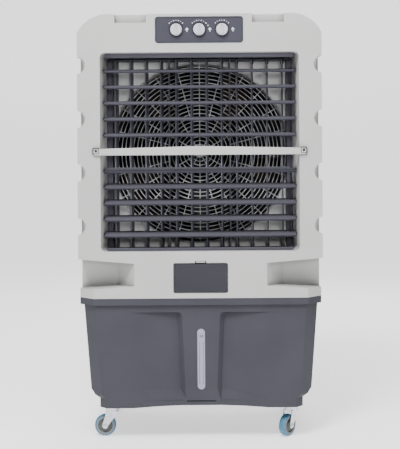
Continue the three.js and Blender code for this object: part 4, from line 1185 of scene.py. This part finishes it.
@dataclass
class Caster:
    """Swivel caster at one corner of the tank."""

    corner: str
    radius: float = 32.5 * MM
    half_width: float = 12 * MM
    cup_bore: float = 8 * MM
    cup_radius: float = 20.5 * MM
    nut_radius: float = 6 * MM
    tread_depth: float = 4 * MM

    def build(self) -> None:
        """Builds the fork, its bearing and the wheel."""
        swivel = JOINT_PLACES[f"{self.corner}_swivel"]
        hub = JOINT_PLACES[f"{self.corner}_roll"]
        self.turn = math.atan2(hub.y - swivel.y, hub.x - swivel.x)
        fork = f"{self.corner}_fork"
        Piece(f"{fork}_pressing", ZINC, "zinc", body=fork, bevel_mm=1.2, bevel_steps=3,
              bevel_angle=35).refine(fork)
        self.bearing(fork, swivel)
        self.axle_nuts(fork, hub)
        self.wheel(hub)

    def across(self, hub: Vector) -> Matrix:
        """Places a shape drawn round the Y axis on the wheel's axle."""
        return Matrix.Translation(hub) @ Matrix.Rotation(self.turn, 4, "Z")

    def bearing(self, fork: str, swivel: Vector) -> None:
        """Dark dust cup between the fork's crown and the tank.

        Args:
            fork: the fork's body, which carries the cup.
            swivel: a point on the swivel's axis.
        """
        mesh = new_mesh()
        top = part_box("water_tank")[0].z
        base = Vector((swivel.x, swivel.y, 0))
        bore, outside = self.cup_bore, self.cup_radius
        cup = [(bore, top - 6.5 * MM), (outside, top - 6.5 * MM), (outside + 1 * MM, top - 4 * MM),
               (outside, top - 0.5 * MM), (bore, top - 0.5 * MM)]
        add_turned(mesh, cup, base, Axis.Z, steps=48)
        Piece(f"{fork}_dust_cup", BLACK_PP, "black_plastic", body=fork).publish(mesh)

    def axle_nuts(self, fork: str, hub: Vector) -> None:
        """Six-sided nut on each end of the axle.

        Args:
            fork: the fork's body, which carries the nuts.
            hub: the wheel's middle.
        """
        mesh = new_mesh()
        reach = self.half_width + 4 * MM
        for side in (-1, 1):
            profile = [(self.nut_radius, side * (reach - 0.2 * MM)),
                       (self.nut_radius, side * (reach + 3.2 * MM)), (4.6 * MM, side * (reach + 4 * MM))]
            add_turned(mesh, profile, Vector(), Axis.Y, steps=6)
        mesh.transform(self.across(hub))
        Piece(f"{fork}_axle_nuts", ZINC, "zinc", body=fork, bevel_mm=0.3, smooth=False).publish(mesh)

    def wheel(self, hub: Vector) -> None:
        """Blue tread and grey side walls round a dark core with a raised boss.

        Args:
            hub: the wheel's middle.
        """
        body = f"{self.corner}_wheel"
        half, radius = self.half_width, self.radius
        tread = new_mesh()
        depth, edge = self.tread_depth, half - 1 * MM
        shoulder = radius - depth
        crown = [(radius - 6 * MM, -edge), (shoulder, -edge)]
        for degrees in (15, 32, 50, 70, 90, 110, 130, 148, 165):
            angle = math.radians(degrees)
            crown.append((shoulder + depth * math.sin(angle), -edge * math.cos(angle)))
        crown += [(shoulder, edge), (radius - 6 * MM, edge)]
        add_turned(tread, crown, Vector(), Axis.Y, steps=72, closed=True)
        wall = new_mesh()
        for side in (-1, 1):
            ring = [(21 * MM, side * 4 * MM), (21 * MM, side * (half - 2.5 * MM)),
                    (22.5 * MM, side * (half - 0.6 * MM)),
                    (radius - 6.5 * MM, side * (half - 0.4 * MM)), (radius - 5 * MM, side * (half - 1.2 * MM)),
                    (radius - 6.5 * MM, side * 4 * MM)]
            add_turned(wall, ring, Vector(), Axis.Y, steps=72, closed=True)
        core = new_mesh()
        outer_half = [(4.3 * MM, -half), (9 * MM, -half), (10 * MM, -half + 2 * MM),
                      (11 * MM, -half + 5 * MM), (20 * MM, -half + 5 * MM), (22 * MM, -half + 3 * MM)]
        section = outer_half + [(r, -along) for r, along in reversed(outer_half)]
        add_turned(core, section, Vector(), Axis.Y, steps=48, closed=True)
        parts = ((tread, "tread", TREAD, (body,)), (wall, "side_walls", WHEEL_WALL, ()),
                 (core, "core", WHEEL_CORE, ()))
        for mesh, part, finish, replaced in parts:
            mesh.transform(self.across(hub))
            Piece(f"{body}_{part}", finish, "tread_rubber", body=body, replaces=replaced).publish(mesh)


# ------------------------------------------------------------------ stage


@dataclass
class Studio:
    """Pale floor and backdrop, soft lights and the camera."""

    distance: float = 2.6
    eye_height: float = 0.790
    lens_mm: float = 70.93
    shift_up: float = -0.114
    roll_deg: float = -0.4
    front: float = -0.215
    aim_height: float = 0.7
    backdrop_start: float = 4.0
    backdrop_bend: float = 2.0
    lights: list = field(default_factory=lambda: [
        ("key", (-0.8, -2.2, 3.5), 0.9, 135.0),
        ("fill", (0.3, -3.4, 1.3), 0.4, 27.0),
        ("top", (0.0, -1.5, 3.3), 1.8, 68.0),
        ("back", (0.4, 3.0, 2.2), 2.2, 45.0),
    ])

    def build(self) -> None:
        """Sets up floor, world, lights and camera."""
        self.floor()
        self.world()
        for name, place, size, power in self.lights:
            self.light(name, Vector(place), size, power)
        self.camera()

    def floor(self) -> None:
        """Wide sheet that curves up into a backdrop far behind the object."""
        mesh = new_mesh()
        start, bend = self.backdrop_start, self.backdrop_bend
        profile = [(-8.0, 0.0)] + arc((start, bend), bend, -90, 0, 12) + [(start + bend, 7.0)]
        rows = [[Vector((x, y, z)) for y, z in profile] for x in (-9.0, 9.0)]
        add_grid(mesh, rows, wrap_columns=False)
        data = bpy.data.meshes.new("studio_floor")
        mesh.to_mesh(data)
        mesh.free()
        for polygon in data.polygons:
            polygon.use_smooth = True
        floor = bpy.data.objects.new("studio_floor", data)
        bpy.context.scene.collection.objects.link(floor)
        paper = bpy.data.materials.new("matt_white_paper")
        paper.use_nodes = True
        shader = paper.node_tree.nodes["Principled BSDF"]
        shader.inputs["Base Color"].default_value = linear("#f7f7f7")
        shader.inputs["Roughness"].default_value = 0.9
        shader.inputs["Emission Color"].default_value = (1.0, 1.0, 1.0, 1.0)
        shader.inputs["Emission Strength"].default_value = 0.9
        data.materials.append(paper)

    def world(self) -> None:
        """Even white surroundings."""
        world = bpy.data.worlds.new("studio")
        world.use_nodes = True
        backdrop = world.node_tree.nodes["Background"]
        backdrop.inputs["Color"].default_value = (1.0, 1.0, 1.0, 1.0)
        backdrop.inputs["Strength"].default_value = 0.3
        bpy.context.scene.world = world

    def light(self, name: str, place: Vector, size: float, power: float) -> None:
        """Square soft light aimed at the middle of the object.

        Args:
            name: the light's name.
            place: where it hangs.
            size: its side.
            power: its power in watts.
        """
        data = bpy.data.lights.new(f"{name}_light", "AREA")
        data.size = size
        data.energy = power
        lamp = bpy.data.objects.new(f"{name}_light", data)
        lamp.location = place
        aim = Vector((0, 0, self.aim_height)) - place
        lamp.rotation_euler = aim.to_track_quat("-Z", "Y").to_euler()
        bpy.context.scene.collection.objects.link(lamp)

    def camera(self) -> None:
        """Level camera straight in front, with a small downward shift."""
        data = bpy.data.cameras.new("camera")
        data.lens = self.lens_mm
        data.sensor_width = 36.0
        data.sensor_fit = "AUTO"
        data.shift_y = self.shift_up
        camera = bpy.data.objects.new("camera", data)
        camera.location = (0.0, self.front - self.distance, self.eye_height)
        level = Matrix.Rotation(math.radians(90), 4, "X")
        rolled = level @ Matrix.Rotation(math.radians(self.roll_deg), 4, "Z")
        camera.rotation_euler = rolled.to_euler()
        bpy.context.scene.collection.objects.link(camera)
        bpy.context.scene.camera = camera


def main() -> None:
    Studio().build()
    Casing().build()
    AirOutlet().build()
    FanUnit().build()
    Controls().build()
    Tank().build()
    for side, outward in (("left", (-1, 0, 0)), ("right", (1, 0, 0)), ("rear", (0, 1, 0))):
        Filter(side, Vector(outward)).build()
    for corner in ("front_left", "front_right", "rear_left", "rear_right"):
        Caster(corner).build()


if __name__ == "__main__":
    main()
